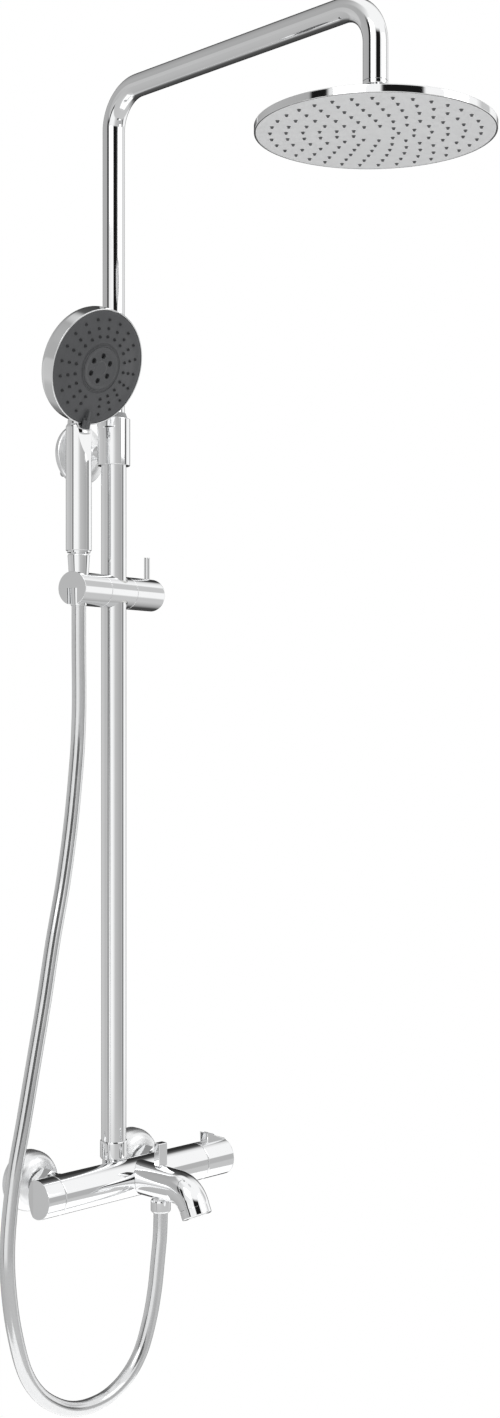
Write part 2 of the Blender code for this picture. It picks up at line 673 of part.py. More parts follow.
def build_column():
    """The two tubes, their guide and seal, and the nut that holds them on the mixer."""
    at = (0, RISER_Y, 0)
    lower_bore = LOWER_TUBE_R - TUBE_WALL
    ring("lower_tube", lower_bore, LOWER_TUBE_R, LOWER_TUBE_FOOT, LOWER_TUBE_TOP, CHROME, at=at, steps=ROUND)
    foot = LOWER_TUBE_TOP - UPPER_TUBE_INSERT
    low_bend = ARM_Z - ARM_BEND_R
    far = RISER_Y - ARM_REACH
    near_arc = arc((RISER_Y - ARM_BEND_R, low_bend), ARM_BEND_R, 0, math.pi / 2, 8)
    far_arc = arc((far + ARM_BEND_R, low_bend), ARM_BEND_R, math.pi / 2, math.pi, 8)
    line = [(RISER_Y, foot)] + near_arc + far_arc + [(far, ARM_DROP_END)]
    points = [Vector((0, y, z)) for y, z in line]
    tube = sweep("upper_tube", points, [UPPER_TUBE_R] * len(points), CHROME, sides=24)
    longer = [points[0] - UP * MM] + points + [points[-1] - UP * MM]
    cut(tube, sweep("upper_tube_bore", longer, [UPPER_TUBE_R - TUBE_WALL] * len(longer), RUBBER, sides=16))
    spigot = UPPER_TUBE_R - TUBE_WALL - GAP
    turned(
        "column_guide",
        ((spigot - 1.5 * MM, -7 * MM), (lower_bore - GAP, -7 * MM), (lower_bore - GAP, -GAP), (spigot, -GAP),
         (spigot, 8 * MM), (spigot - 1.5 * MM, 8 * MM)),
        NYLON, at=(0, RISER_Y, foot), steps=COARSE,
    )
    collar_top = COLLAR_FOOT + COLLAR_LENGTH
    gasket_foot = collar_top + GAP
    gasket_bore = UPPER_TUBE_R + GAP
    turned(
        "column_gasket",
        ((gasket_bore, 0), (gasket_bore + 2.6 * MM, 0), (gasket_bore + 1 * MM, GASKET_HEIGHT), (gasket_bore, GASKET_HEIGHT)),
        GREY_PLASTIC, at=(0, RISER_Y, gasket_foot),
    )
    nut_top = RISER_NUT_FOOT + RISER_NUT_LENGTH
    neck = LOWER_TUBE_R + GAP
    thread = RISER_SPIGOT_R + GAP
    turned(
        "riser_nut",
        ((thread, RISER_NUT_FOOT), (RISER_NUT_R - MM, RISER_NUT_FOOT), (RISER_NUT_R, RISER_NUT_FOOT + MM),
         (RISER_NUT_R, nut_top - MM), (RISER_NUT_R - MM / 2, nut_top), (neck, nut_top), (neck, LOWER_TUBE_FOOT - WASHER),
         (thread, LOWER_TUBE_FOOT - WASHER)),
        CHROME, at=at,
    )
    ring(
        "riser_washer", RISER_FEED_R, LOWER_TUBE_R - GAP, LOWER_TUBE_FOOT - WASHER + GAP, LOWER_TUBE_FOOT - GAP, RUBBER,
        at=at, steps=COARSE,
    )


def build_bracket():
    """The collar round the column and what holds it on the wall."""
    top = COLLAR_FOOT + COLLAR_LENGTH
    wide = LOWER_TUBE_R + GAP
    narrow = UPPER_TUBE_R + GAP
    ledge = LOWER_TUBE_TOP + GAP
    turned(
        "bracket_collar",
        ((wide, COLLAR_FOOT), (COLLAR_R - MM, COLLAR_FOOT), (COLLAR_R, COLLAR_FOOT + MM), (COLLAR_R, top - MM),
         (COLLAR_R - MM, top), (narrow, top), (narrow, ledge), (wide, ledge)),
        CHROME, at=(0, RISER_Y, 0), steps=FINE,
    )
    at = (0, 0, BRACKET_Z)
    arm = rod("bracket_arm", BRACKET_ARM_R, WALL_PLATE + GAP, -RISER_Y - COLLAR_R + 5 * MM, CHROME, at=at, axis=OUT)
    cut(arm, rod("collar_seat", COLLAR_R + GAP, COLLAR_FOOT, top, RUBBER, at=(0, RISER_Y, 0), steps=FINE))
    depth = BRACKET_ROSETTE_DEPTH
    turned(
        "bracket_rosette",
        ((BRACKET_ROSETTE_R, 0.2 * MM), (BRACKET_ROSETTE_R, depth * 0.5), (BRACKET_ROSETTE_R - 1.2 * MM, depth * 0.75),
         (BRACKET_ROSETTE_R - 4 * MM, depth * 0.9), (BRACKET_ARM_R + GAP, depth), (BRACKET_ARM_R + GAP, depth - SHEET),
         (BRACKET_ROSETTE_R - 4.6 * MM, depth * 0.9 - SHEET), (BRACKET_ROSETTE_R - SHEET, depth * 0.5),
         (BRACKET_ROSETTE_R - SHEET, 0.2 * MM)),
        CHROME, at=at, axis=OUT, steps=FINE,
    )
    plate = rod("bracket_wall_plate", WALL_PLATE_R, 0, WALL_PLATE, BRASS, at=at, axis=OUT)
    for side, sign in (("upper", 1), ("lower", -1)):
        z = BRACKET_Z + sign * WALL_SCREW_SPACING / 2
        hole = (0, 0, z)
        cut(plate, rod(f"screw_hole_{side}", WALL_SCREW_R + GAP, -MM, WALL_PLATE + MM, RUBBER, at=hole, axis=OUT, steps=16))
        head = WALL_PLATE + GAP
        turned(
            f"wall_screw_{side}",
            ((0, head - WALL_SCREW_LENGTH), (WALL_SCREW_R * 0.6, head - WALL_SCREW_LENGTH + MM),
             (WALL_SCREW_R, head - WALL_SCREW_LENGTH + 5 * MM), (WALL_SCREW_R, head), (WALL_SCREW_R * 2, head),
             (WALL_SCREW_R * 1.6, head + 1.6 * MM), (0, head + 1.9 * MM)),
            STEEL, at=hole, axis=OUT, steps=16,
        )
        ring(
            f"wall_plug_{side}", WALL_SCREW_R + GAP, WALL_SCREW_R + 1.8 * MM, head - WALL_SCREW_LENGTH, -GAP,
            GREY_PLASTIC, at=hole, axis=OUT, steps=16,
        )


def build_rain_head():
    """The rain head on its ball joint."""
    far = RISER_Y - ARM_REACH
    at = (0, far, HEAD_FACE_Z)
    seat_bore = BALL_R + GAP
    seat_r = seat_bore + SEAT_WALL
    cup_bore = seat_r + GAP
    cup_r = cup_bore + CUP_WALL
    pivot = BALL_Z - HEAD_FACE_Z
    cup_top = pivot + SEAT_HALF_HEIGHT + GAP
    dome = HEAD_RIM + HEAD_DOME
    seat_floor = pivot - SEAT_HALF_HEIGHT - GAP
    under_rim = NOZZLE_PLATE + NOZZLE_MAT + 3 * GAP
    turned(
        "rain_head_shell",
        ((HEAD_R, 0), (HEAD_R, HEAD_RIM - MM), (HEAD_R - MM, HEAD_RIM), (HEAD_R * 0.6, HEAD_RIM + HEAD_DOME * 0.55),
         (cup_r + 4 * MM, dome), (cup_r, dome + MM), (cup_r, cup_top), (cup_bore, cup_top), (cup_bore, seat_floor),
         (BALL_R - 2 * MM, seat_floor), (BALL_R - 2 * MM, dome - 2 * MM), (HEAD_R * 0.6, dome - HEAD_DOME * 0.45 - 2 * MM),
         (HEAD_R - 4 * MM, under_rim + GAP), (HEAD_R - SHEET, under_rim - GAP), (HEAD_R - SHEET, 0)),
        CHROME, at=at, steps=FINE + 16,
    )
    inside = HEAD_R - SHEET - GAP
    rod("rain_nozzle_plate", inside, 0, NOZZLE_PLATE, CHROME, at=at, steps=FINE + 16)
    rod("rain_nozzle_mat", inside - 2 * MM, NOZZLE_PLATE + GAP, NOZZLE_PLATE + GAP + NOZZLE_MAT, SILICONE, at=at, steps=FINE)
    ball_at = (0, far, BALL_Z)
    stem_angle = math.asin(BALL_STEM_R / BALL_R)
    shoulder = ARM_DROP_END - BALL_Z - 4.5 * MM
    tube_bore = UPPER_TUBE_R - TUBE_WALL - GAP
    turned(
        "ball_stem",
        [(BALL_R * math.sin(a), -BALL_R * math.cos(a)) for a in (i * (math.pi - stem_angle) / 12 for i in range(13))]
        + [(BALL_STEM_R, shoulder), (UPPER_TUBE_R, shoulder), (UPPER_TUBE_R, shoulder + 4.2 * MM),
           (tube_bore, shoulder + 4.2 * MM), (tube_bore, shoulder + 18 * MM), (0, shoulder + 18 * MM)],
        CHROME, at=ball_at,
    )
    half = math.asin(SEAT_HALF_HEIGHT / seat_bore)
    low = math.asin(GAP / seat_bore)
    cup = [low + (half - low) * i / 4 for i in range(5)]
    turned(
        "lower_ball_seat",
        [(seat_bore * math.cos(a), -seat_bore * math.sin(a)) for a in cup] + [(seat_r, -SEAT_HALF_HEIGHT), (seat_r, -GAP)],
        NYLON, at=ball_at, steps=COARSE,
    )
    high = math.asin((SEAT_HALF_HEIGHT + GAP) / seat_r) - HEAD_TILT_ROOM
    zone = [HEAD_TILT_ROOM + (high - HEAD_TILT_ROOM) * i / 4 for i in range(5)]
    turned(
        "upper_ball_seat",
        [(seat_bore * math.cos(a), seat_bore * math.sin(a)) for a in zone]
        + [(seat_r * math.cos(a), seat_r * math.sin(a)) for a in reversed(zone)],
        NYLON, at=ball_at, steps=COARSE,
    )
    nut_r = cup_r + GAP + SWIVEL_NUT_WALL
    turned(
        "swivel_nut",
        ((cup_r + GAP, seat_floor - pivot + MM), (nut_r, seat_floor - pivot + MM), (nut_r, SWIVEL_NUT_TOP - 2 * MM),
         (nut_r - 2 * MM, SWIVEL_NUT_TOP), (SWIVEL_NUT_OPENING_R, SWIVEL_NUT_TOP),
         (SWIVEL_NUT_OPENING_R, cup_top - pivot + GAP), (cup_r + GAP, cup_top - pivot + GAP)),
        CHROME, at=ball_at,
    )


def cone_radius_at(z):
    """The conical nut's radius at a height."""
    return CONE_FOOT_R + (CONE_TOP_R - CONE_FOOT_R) * (z - CONE_FOOT) / (CONE_TOP - CONE_FOOT)


def build_slider():
    """The slider with its bush, clamp lever and the tilting holder."""
    frame = frame_at("slider_frame", (0, RISER_Y, SLIDER_Z), Quaternion((0, 0, 1), SLIDER_TURN))
    bush_in = LOWER_TUBE_R + GAP
    bush_out = bush_in + BUSH_WALL
    bore = bush_out + GAP
    height = SLEEVE_HALF_HEIGHT
    left, right = SLIDER_BODY_LEFT, SLIDER_BODY_RIGHT
    ring("slider_bush", bush_in, bush_out, -height, height, NYLON, parent=frame)
    body = rod("slider_body", SLIDER_R, left, right, CHROME, axis=X_AXIS, parent=frame, steps=FINE)
    tall = SLIDER_R + MM
    cut(body, rod("bush_bore", bore, -tall, tall, RUBBER, parent=frame, steps=FINE))
    axle_start = (left - bore) / 2
    axle_end = left - 14 * MM
    cylinder_cut(body, AXLE_R + GAP, (left - MM, 0, 0), (axle_start + GAP, 0, 0), COARSE, frame)
    cylinder_cut(body, SHOE_R + GAP, (right + MM, 0, 0), (bore / 2, 0, 0), COARSE, frame)
    rod("holder_axle", AXLE_R, axle_end, axle_start, STEEL, axis=X_AXIS, parent=frame, steps=COARSE)
    rod("clamp_shoe", SHOE_R, bush_out + GAP, right - GAP, NYLON, axis=X_AXIS, parent=frame, steps=COARSE)
    dome = 3 * MM
    lever = turned(
        "clamp_lever",
        [(0, right + GAP), (SLIDER_R, right + GAP)]
        + arc((SLIDER_R - dome, SLIDER_RIGHT - dome), dome, 0, math.pi / 2, 4) + [(0, SLIDER_RIGHT)],
        CHROME, axis=X_AXIS, parent=frame, steps=FINE,
    )
    join(
        lever,
        turned(
            "lever_pin",
            ((0, 0), (LEVER_PIN_R, 0), (LEVER_PIN_R, LEVER_PIN_TOP - MM), (LEVER_PIN_R - MM, LEVER_PIN_TOP),
             (0, LEVER_PIN_TOP)),
            CHROME, at=(LEVER_PIN_AT, 0, 0), parent=frame, steps=COARSE,
        ),
    )
    holder = rod("handset_holder", SLIDER_R, SLIDER_LEFT, left - GAP, CHROME, axis=X_AXIS, parent=frame, steps=FINE)
    low, high = SLIDER_Z - tall, SLIDER_Z + tall
    socket = turned(
        "holder_socket",
        ((0, -tall), (cone_radius_at(low) + GAP, -tall), (cone_radius_at(high) + GAP, tall), (0, tall)),
        RUBBER, at=(HANDSET_AT, 0, 0), parent=frame,
    )
    slot = box("holder_slot", (SLIDER_LEFT - MM, -HOLDER_SLOT / 2, -tall), (HANDSET_AT, HOLDER_SLOT / 2, 0), RUBBER, frame)
    cut(holder, socket, slot)
    cylinder_cut(holder, AXLE_R + GAP, (left + MM, 0, 0), (axle_end - GAP, 0, 0), COARSE, frame)


def handset_foot():
    """Where the handset's axis meets Z = 0."""
    local = Vector((HANDSET_AT, 0, 0))
    return Matrix.Rotation(SLIDER_TURN, 3, "Z") @ local + Vector((0, RISER_Y, 0))


def build_handset():
    """The conical hose nut, and the handset that stands in the holder on it."""
    foot = handset_foot()
    frame = frame_at("handset_frame", foot, Quaternion((0, 0, 1), HANDSET_FACING))
    thread = HANDSET_THREAD_R + GAP
    thread_foot = HANDLE_FOOT - 12 * MM
    hose_seat = HOSE_R + GAP
    turned(
        "cone_nut",
        ((hose_seat, CONE_FOOT + 3 * MM), (hose_seat, CONE_FOOT), (CONE_FOOT_R, CONE_FOOT), (CONE_TOP_R, CONE_TOP),
         (thread, CONE_TOP), (thread, thread_foot - 2 * MM), (NIPPLE_BORE_R, thread_foot - 2 * MM),
         (NIPPLE_BORE_R, CONE_FOOT + 3 * MM)),
        CHROME, at=foot,
    )
    ring(
        "handset_washer", NIPPLE_BORE_R, HANDSET_THREAD_R - GAP, thread_foot - 2 * MM + GAP, thread_foot - GAP, RUBBER,
        at=foot, steps=COARSE,
    )
    head_frame = frame_at(
        "head_frame", (0, -HANDSET_FACE_FORWARD, HANDSET_FACE_Z),
        UP.rotation_difference(Vector((0, -math.cos(HANDSET_TILT), -math.sin(HANDSET_TILT)))), frame,
    )
    round_edge = HANDSET_BACK_EDGE
    head = HANDSET_HEAD_R
    depth = HANDSET_HEAD_DEPTH
    inside = head - HANDSET_RIM
    shell = turned(
        "handset_shell",
        [(0, -depth - 2 * MM)] + arc((head - round_edge, -depth + round_edge), round_edge, -math.pi / 2, 0, 5)
        + [(head, -0.8 * MM), (head - 0.8 * MM, 0), (0, 0)],
        CHROME, parent=head_frame, steps=FINE,
    )
    handle = turned(
        "handset_handle",
        ((0, thread_foot), (HANDSET_THREAD_R, thread_foot), (HANDSET_THREAD_R, HANDLE_FOOT - 2 * MM),
         (HANDLE_R - 1.5 * MM, HANDLE_FOOT - 2 * MM), (HANDLE_R - 1.5 * MM, HANDLE_FOOT), (HANDLE_R, HANDLE_FOOT + MM),
         (HANDLE_R, HANDLE_TOP), (HANDLE_R - 1 * MM, HANDLE_TOP + 3 * MM), (0, HANDLE_TOP + 3 * MM)),
        CHROME, parent=frame,
    )
    neck_end = HANDSET_FACE_Z - 26 * MM
    neck = sweep(
        "handset_neck",
        [(0, 0, HANDLE_TOP - 8 * MM), (0, 0, HANDLE_TOP + 4 * MM), (0, -2 * MM, HANDLE_TOP + 14 * MM),
         (0, -5 * MM, neck_end - 6 * MM), (0, -9 * MM, neck_end)],
        [HANDLE_R - 1.5 * MM, HANDLE_R - 2 * MM, HANDLE_R - 2.5 * MM, HANDLE_R - 1.5 * MM, HANDLE_R], CHROME, parent=frame,
    )
    join(shell, neck, handle)
    relief = rod("neck_relief", head + 1.5 * MM, -GAP, 40 * MM, RUBBER, parent=head_frame, steps=FINE)
    tab_room = rod("tab_room", TAB_TO + MM, TAB_LIFT - GAP, 40 * MM, RUBBER, parent=head_frame, steps=FINE)
    grip_cut = box("grip_cut", (-30 * MM, -40 * MM, 0), (30 * MM, 0, 60 * MM), RUBBER, parent=frame)
    grip_cut.location = (0, -HANDLE_R, GRIP_CUT_Z)
    grip_cut.rotation_euler = (-GRIP_CUT_TURN, 0, 0)
    chamber = turned(
        "handset_chamber",
        ((0, MM), (inside, MM), (inside, -FACE_DEPTH - 3.5 * MM), (inside - 8 * MM, -FACE_DEPTH - 3.5 * MM),
         (inside - 10 * MM, -depth + 3 * MM), (0, -depth + MM)),
        RUBBER, parent=head_frame, steps=FINE,
    )
    cut(shell, grip_cut, relief, tab_room, chamber)
    cylinder_cut(shell, HANDLE_BORE_R, (0, 0, thread_foot - MM), (0, 0, HANDSET_FACE_Z - 0.6 * head), COARSE, frame)
    face_r = inside - GAP
    face = turned(
        "spray_face",
        ((SPRAY_DISC_R + GAP, -FACE_DEPTH), (face_r, -FACE_DEPTH), (face_r, -0.5 * MM), (face_r - MM, 0),
         (face_r * 0.84, 0.07 * FACE_DOME), (face_r * 0.70, 0.40 * FACE_DOME), (face_r * 0.56, 0.73 * FACE_DOME),
         (SPRAY_DISC_R + GAP, FACE_DOME)),
        DARK_GREY, parent=head_frame, steps=FINE,
    )
    tab = box(
        "spray_tab", (-TAB_TO, -TAB_WIDTH / 2, -MM), (-TAB_FROM, TAB_WIDTH / 2, TAB_LIFT + TAB_THICK), DARK_GREY, parent=head_frame,
        edge=1.2 * MM,
    )
    under = box(
        "tab_relief", (-TAB_TO - MM, -TAB_WIDTH, -2 * MM), (-face_r + MM, TAB_WIDTH, TAB_LIFT), RUBBER, parent=head_frame
    )
    cut(tab, under)
    quarter = head_down(head_frame)
    for obj in (tab, under):
        obj.rotation_mode = "QUATERNION"
        obj.rotation_quaternion = quarter
    join(face, tab)
    disc = rod("spray_disc", SPRAY_DISC_R, -FACE_DEPTH, FACE_DOME + 0.6 * MM, DARK_GREY, parent=head_frame)
    for i in range(SPRAY_HOLES):
        angle = 2 * math.pi * (i + 0.5) / SPRAY_HOLES
        x, y = SPRAY_HOLE_CIRCLE_R * math.cos(angle), SPRAY_HOLE_CIRCLE_R * math.sin(angle)
        cylinder_cut(disc, SPRAY_HOLE_R, (x, y, -FACE_DEPTH - MM), (x, y, FACE_DOME + 2 * MM), 12, head_frame)
    rod(
        "handset_nozzle_mat", inside - 2 * MM, -FACE_DEPTH - GAP - 2 * MM, -FACE_DEPTH - GAP, SILICONE,
        parent=head_frame, steps=FINE,
    )


def head_down(head_frame):
    """The turn about the face's normal that brings local -X to the lowest point of the face."""
    down = head_frame.rotation_quaternion.inverted() @ Vector((0, 0, -1))
    down.z = 0
    return (-X_AXIS).rotation_difference(down)


def build():
    build_body()
    build_inlets()
    build_flow_side()
    build_thermostat_side()
    build_spout()
    build_hose()
    build_column()
    build_bracket()
    build_rain_head()
    build_slider()
    build_handset()


clear_scene()
PARTS = collection("rainfall_shower_column")
CUTTERS = collection("cutters")
CHROME = finish("chrome", (0.80, 0.81, 0.82), 1.0, 0.06)
BRASS = finish("brass", (0.78, 0.62, 0.33), 1.0, 0.25)
STEEL = finish("steel", (0.62, 0.62, 0.63), 1.0, 0.3)
DARK_GREY = finish("dark_grey_plastic", (0.10, 0.10, 0.105), 0.0, 0.45)
GREY_PLASTIC = finish("grey_plastic", (0.35, 0.35, 0.36), 0.0, 0.5)
NYLON = finish("white_nylon", (0.85, 0.85, 0.84), 0.0, 0.4)
CERAMIC = finish("ceramic", (0.90, 0.89, 0.86), 0.0, 0.3)
SILICONE = finish("silicone", (0.45, 0.46, 0.47), 0.0, 0.55)
RUBBER = finish("rubber", (0.04, 0.04, 0.04), 0.0, 0.7)
RED = finish("red_plastic", (0.60, 0.04, 0.03), 0.0, 0.35)
HOSE_SILVER = finish("hose_silver", (0.66, 0.67, 0.68), 0.6, 0.25)
build()
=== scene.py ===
"""Fine shapes, finishes, studio and camera for a wall-mounted rainfall shower column.

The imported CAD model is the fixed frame: every visible piece here is made at its CAD node's place and size,
and rides on the same body. Lengths are in metres, the wall is Y = 0 and the room is towards -Y.
"""

import logging
import math
from dataclasses import dataclass
from enum import Enum
from typing import Iterable, Sequence

import bmesh
import bpy
import numpy as np
from mathutils import Matrix, Quaternion, Vector


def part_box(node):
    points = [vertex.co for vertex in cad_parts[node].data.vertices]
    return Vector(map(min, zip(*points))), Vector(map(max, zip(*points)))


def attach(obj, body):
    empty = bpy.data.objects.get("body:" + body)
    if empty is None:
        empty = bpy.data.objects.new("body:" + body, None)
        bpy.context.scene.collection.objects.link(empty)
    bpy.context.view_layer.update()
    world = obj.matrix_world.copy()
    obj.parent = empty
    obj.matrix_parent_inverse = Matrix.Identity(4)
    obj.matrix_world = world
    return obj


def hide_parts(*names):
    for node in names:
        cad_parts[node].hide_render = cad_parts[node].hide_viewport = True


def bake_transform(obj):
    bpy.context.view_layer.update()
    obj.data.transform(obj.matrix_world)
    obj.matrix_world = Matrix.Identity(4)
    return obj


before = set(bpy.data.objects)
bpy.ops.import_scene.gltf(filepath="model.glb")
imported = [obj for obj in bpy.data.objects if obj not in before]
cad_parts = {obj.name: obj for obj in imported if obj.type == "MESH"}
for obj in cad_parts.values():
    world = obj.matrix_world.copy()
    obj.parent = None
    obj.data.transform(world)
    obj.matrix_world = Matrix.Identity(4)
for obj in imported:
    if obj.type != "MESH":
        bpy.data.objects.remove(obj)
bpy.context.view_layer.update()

LOG = logging.getLogger("shower_column")
MM = 0.001
UP = Vector((0, 0, 1))
ACROSS = Vector((1, 0, 0))
OUT = Vector((0, -1, 0))
Point2 = tuple[float, ...]


class Body(str, Enum):
    """The moving bodies that pieces ride on."""

    MIXER = "mixer"
    ARM = "arm"
    RAIN_HEAD = "rain_head"
    CARRIAGE = "carriage"
    SLIDER = "slider"
    CLAMP_LEVER = "clamp_lever"
    HOLDER = "holder"
    HOSE_END = "hose_end"
    HANDSET = "handset"
    SPRAY_SELECTOR = "spray_selector"
    THERMOSTAT = "thermostat_handle"
    SAFETY_BUTTON = "safety_button"
    FLOW = "flow_handle"
    DIVERTER = "diverter"


class Cut(str, Enum):
    """How two shapes are combined."""

    AWAY = "DIFFERENCE"
    TOGETHER = "UNION"


# ---------------------------------------------------------------------------------------- finishes


class NodeTree:
    """A small helper that adds shader nodes and links them by name."""

    def __init__(self, tree: bpy.types.NodeTree) -> None:
        """Starts on a tree.

        Args:
            tree: the node tree to add to.
        """
        self.tree = tree

    def add(self, kind: str, **values: object) -> bpy.types.Node:
        """Adds a node.

        Args:
            kind: the node's Blender type.
            values: properties, or inputs named with their label's words joined by underscores.

        Returns:
            The new node.
        """
        node = self.tree.nodes.new(kind)
        for key, value in values.items():
            label = key.replace("_", " ")
            if label in node.inputs:
                node.inputs[label].default_value = value
            else:
                setattr(node, key, value)
        return node

    def link(self, source: bpy.types.NodeSocket, target: bpy.types.NodeSocket) -> None:
        """Links an output to an input."""
        self.tree.links.new(source, target)

    def mix(self, factor: object, first: object, second: object) -> bpy.types.NodeSocket:
        """Mixes two colours.

        Args:
            factor: a number or a socket.
            first: a colour or a socket, shown at factor 0.
            second: a colour or a socket, shown at factor 1.

        Returns:
            The mixed colour's socket.
        """
        node = self.add("ShaderNodeMix", data_type="RGBA")
        for index, value in ((0, factor), (6, first), (7, second)):
            if isinstance(value, bpy.types.NodeSocket):
                self.link(value, node.inputs[index])
            else:
                node.inputs[index].default_value = value
        return node.outputs[2]

    def ramp(self, source: bpy.types.NodeSocket,
             stops: Sequence[tuple[float, float]]) -> bpy.types.NodeSocket:
        """Turns a number into a grey by a ramp.

        Args:
            source: the number's socket.
            stops: (position, grey) pairs in rising order.

        Returns:
            The colour's socket.
        """
        node = self.add("ShaderNodeValToRGB")
        bar = node.color_ramp.elements
        while len(bar) < len(stops):
            bar.new(0.5)
        for element, (position, grey) in zip(bar, stops):
            element.position = position
            element.color = (grey, grey, grey, 1)
        self.link(source, node.inputs["Fac"])
        return node.outputs["Color"]

    def math(self, operation: str, *values: object) -> bpy.types.NodeSocket:
        """Does arithmetic on numbers or sockets.

        Args:
            operation: the Math node's operation.
            values: up to three numbers or sockets.

        Returns:
            The result's socket.
        """
        node = self.add("ShaderNodeMath", operation=operation)
        for slot, value in zip(node.inputs, values):
            if isinstance(value, bpy.types.NodeSocket):
                self.link(value, slot)
            else:
                slot.default_value = value
        return node.outputs[0]


@dataclass(frozen=True)
class Finish:
    """A surface finish: a tone with slight variation, varied roughness and a fine grain."""

    name: str
    slot: str
    tone: tuple[float, float, float]
    shade: tuple[float, float, float]
    metallic: float
    roughness: tuple[float, float]
    blotch: float
    grain: float
    grain_depth: float
    coat: float = 0.0
    specular: float = 0.5

    def material(self) -> bpy.types.Material:
        """Builds the finish's material once.

        Returns:
            The material.
        """
        made = bpy.data.materials.get(self.name)
        if made:
            return made
        made = bpy.data.materials.new(self.name)
        made.use_nodes = True
        nodes = NodeTree(made.node_tree)
        shader = made.node_tree.nodes["Principled BSDF"]
        shader.inputs["Metallic"].default_value = self.metallic
        shader.inputs["Coat Weight"].default_value = self.coat
        shader.inputs["Coat Roughness"].default_value = 0.05
        shader.inputs["Specular IOR Level"].default_value = self.specular
        place = nodes.add("ShaderNodeTexCoord").outputs["Object"]
        cloud = nodes.add("ShaderNodeTexNoise", Scale=self.blotch, Detail=3.0, Roughness=0.55)
        nodes.link(place, cloud.inputs["Vector"])
        tint = nodes.mix(cloud.outputs["Fac"], (*self.shade, 1), (*self.tone, 1))
        nodes.link(tint, shader.inputs["Base Color"])
        spread = nodes.add("ShaderNodeMapRange", To_Min=self.roughness[0], To_Max=self.roughness[1])
        spread.inputs["From Min"].default_value = 0.3
        spread.inputs["From Max"].default_value = 0.7
        nodes.link(cloud.outputs["Fac"], spread.inputs["Value"])
        nodes.link(spread.outputs["Result"], shader.inputs["Roughness"])
        fine = nodes.add("ShaderNodeTexNoise", Scale=self.grain, Detail=2.0)
        nodes.link(place, fine.inputs["Vector"])
        bump = nodes.add("ShaderNodeBump", Strength=1.0, Distance=self.grain_depth)
        nodes.link(fine.outputs["Fac"], bump.inputs["Height"])
        nodes.link(bump.outputs["Normal"], shader.inputs["Normal"])
        return made


CHROME = Finish("polished_chrome", "chrome", (0.93, 0.935, 0.94), (0.89, 0.895, 0.90), 1.0, (0.025, 0.05),
                22.0, 90.0, 2e-6)
PLATED = Finish(
    "plated_plastic_chrome", "chromed_plastic", (0.93, 0.935, 0.94), (0.89, 0.895, 0.90), 1.0, (0.03, 0.06),
    22.0, 90.0, 3e-6
)
ROSETTE = Finish("rosette_chrome", "chrome", (0.93, 0.935, 0.94), (0.89, 0.895, 0.90), 1.0, (0.30, 0.36),
                 22.0, 90.0, 2e-6)
SATIN_CHROME = Finish(
    "spray_plate_chrome", "chromed_plastic", (0.95, 0.955, 0.96), (0.89, 0.895, 0.90), 0.06, (0.42, 0.50),
    160.0, 900.0, 3e-5
)
BRASS = Finish("turned_brass", "brass", (0.83, 0.66, 0.36), (0.70, 0.54, 0.28), 1.0, (0.22, 0.36), 60.0,
               900.0, 1e-5)
STEEL = Finish("zinc_plated_steel", "steel", (0.66, 0.67, 0.68), (0.55, 0.56, 0.57), 1.0, (0.25, 0.4), 80.0,
               900.0, 1e-5)
FACE_GREY = Finish(
    "spray_face_grey", "dark_grey_plastic", (0.098, 0.100, 0.104), (0.078, 0.080, 0.084), 0.0, (0.38, 0.46),
    45.0, 1400.0, 1.2e-5
)
NOZZLE_DARK = Finish(
    "handset_nozzle_dark", "silicone", (0.030, 0.031, 0.033), (0.020, 0.021, 0.022), 0.0, (0.35, 0.5), 90.0,
    1200.0, 1e-5
)
NOZZLE_GREY = Finish(
    "rain_nozzle_grey", "silicone", (0.13, 0.133, 0.137), (0.09, 0.093, 0.096), 0.0, (0.45, 0.6), 90.0,
    1200.0, 1e-5
)
GASKET_GREY = Finish("gasket_grey", "grey_plastic", (0.42, 0.425, 0.43), (0.36, 0.365, 0.37), 0.0,
                     (0.4, 0.55), 60.0, 900.0, 1e-5)
NYLON = Finish("white_bearing_nylon", "white_nylon", (0.80, 0.80, 0.78), (0.74, 0.74, 0.72), 0.0, (0.35, 0.5),
               60.0, 900.0, 1e-5)
CERAMIC = Finish("cartridge_ceramic", "ceramic", (0.86, 0.85, 0.82), (0.80, 0.79, 0.76), 0.0, (0.25, 0.35),
                 60.0, 900.0, 1e-5)
RUBBER = Finish("washer_rubber", "rubber", (0.030, 0.030, 0.030), (0.018, 0.018, 0.018), 0.0, (0.6, 0.8),
                80.0, 900.0, 2e-5)
BUTTON = Finish("safety_button_silver", "red_plastic", (0.62, 0.62, 0.63), (0.52, 0.52, 0.53), 0.6,
                (0.3, 0.42), 60.0, 900.0, 2e-5)
HOSE = Finish(
    "silver_hose_sheath", "hose_silver", (0.80, 0.805, 0.81), (0.72, 0.725, 0.73), 0.85, (0.10, 0.16), 30.0,
    700.0, 1.0e-5, coat=0.6
)


# ------------------------------------------------------------------------------------------ shapes


def corner_points(before: Vector, corner: Vector, after: Vector, radius: float, count: int) -> list[Vector]:
    """Rounds one corner of an outline.

    Args:
        before: the point before the corner.
        corner: the corner itself.
        after: the point after it.
        radius: how far from the corner the rounding starts, at most.
        count: how many steps the rounding takes.

    Returns:
        The points that replace the corner.
    """
    start, end = before - corner, after - corner
    reach = min(radius, 0.45 * start.length, 0.45 * end.length)
    first, last = corner + start.normalized() * reach, corner + end.normalized() * reach
    steps = (i / count for i in range(count + 1))
    return [first * (1 - t) ** 2 + corner * (2 * t * (1 - t)) + last * t**2 for t in steps]


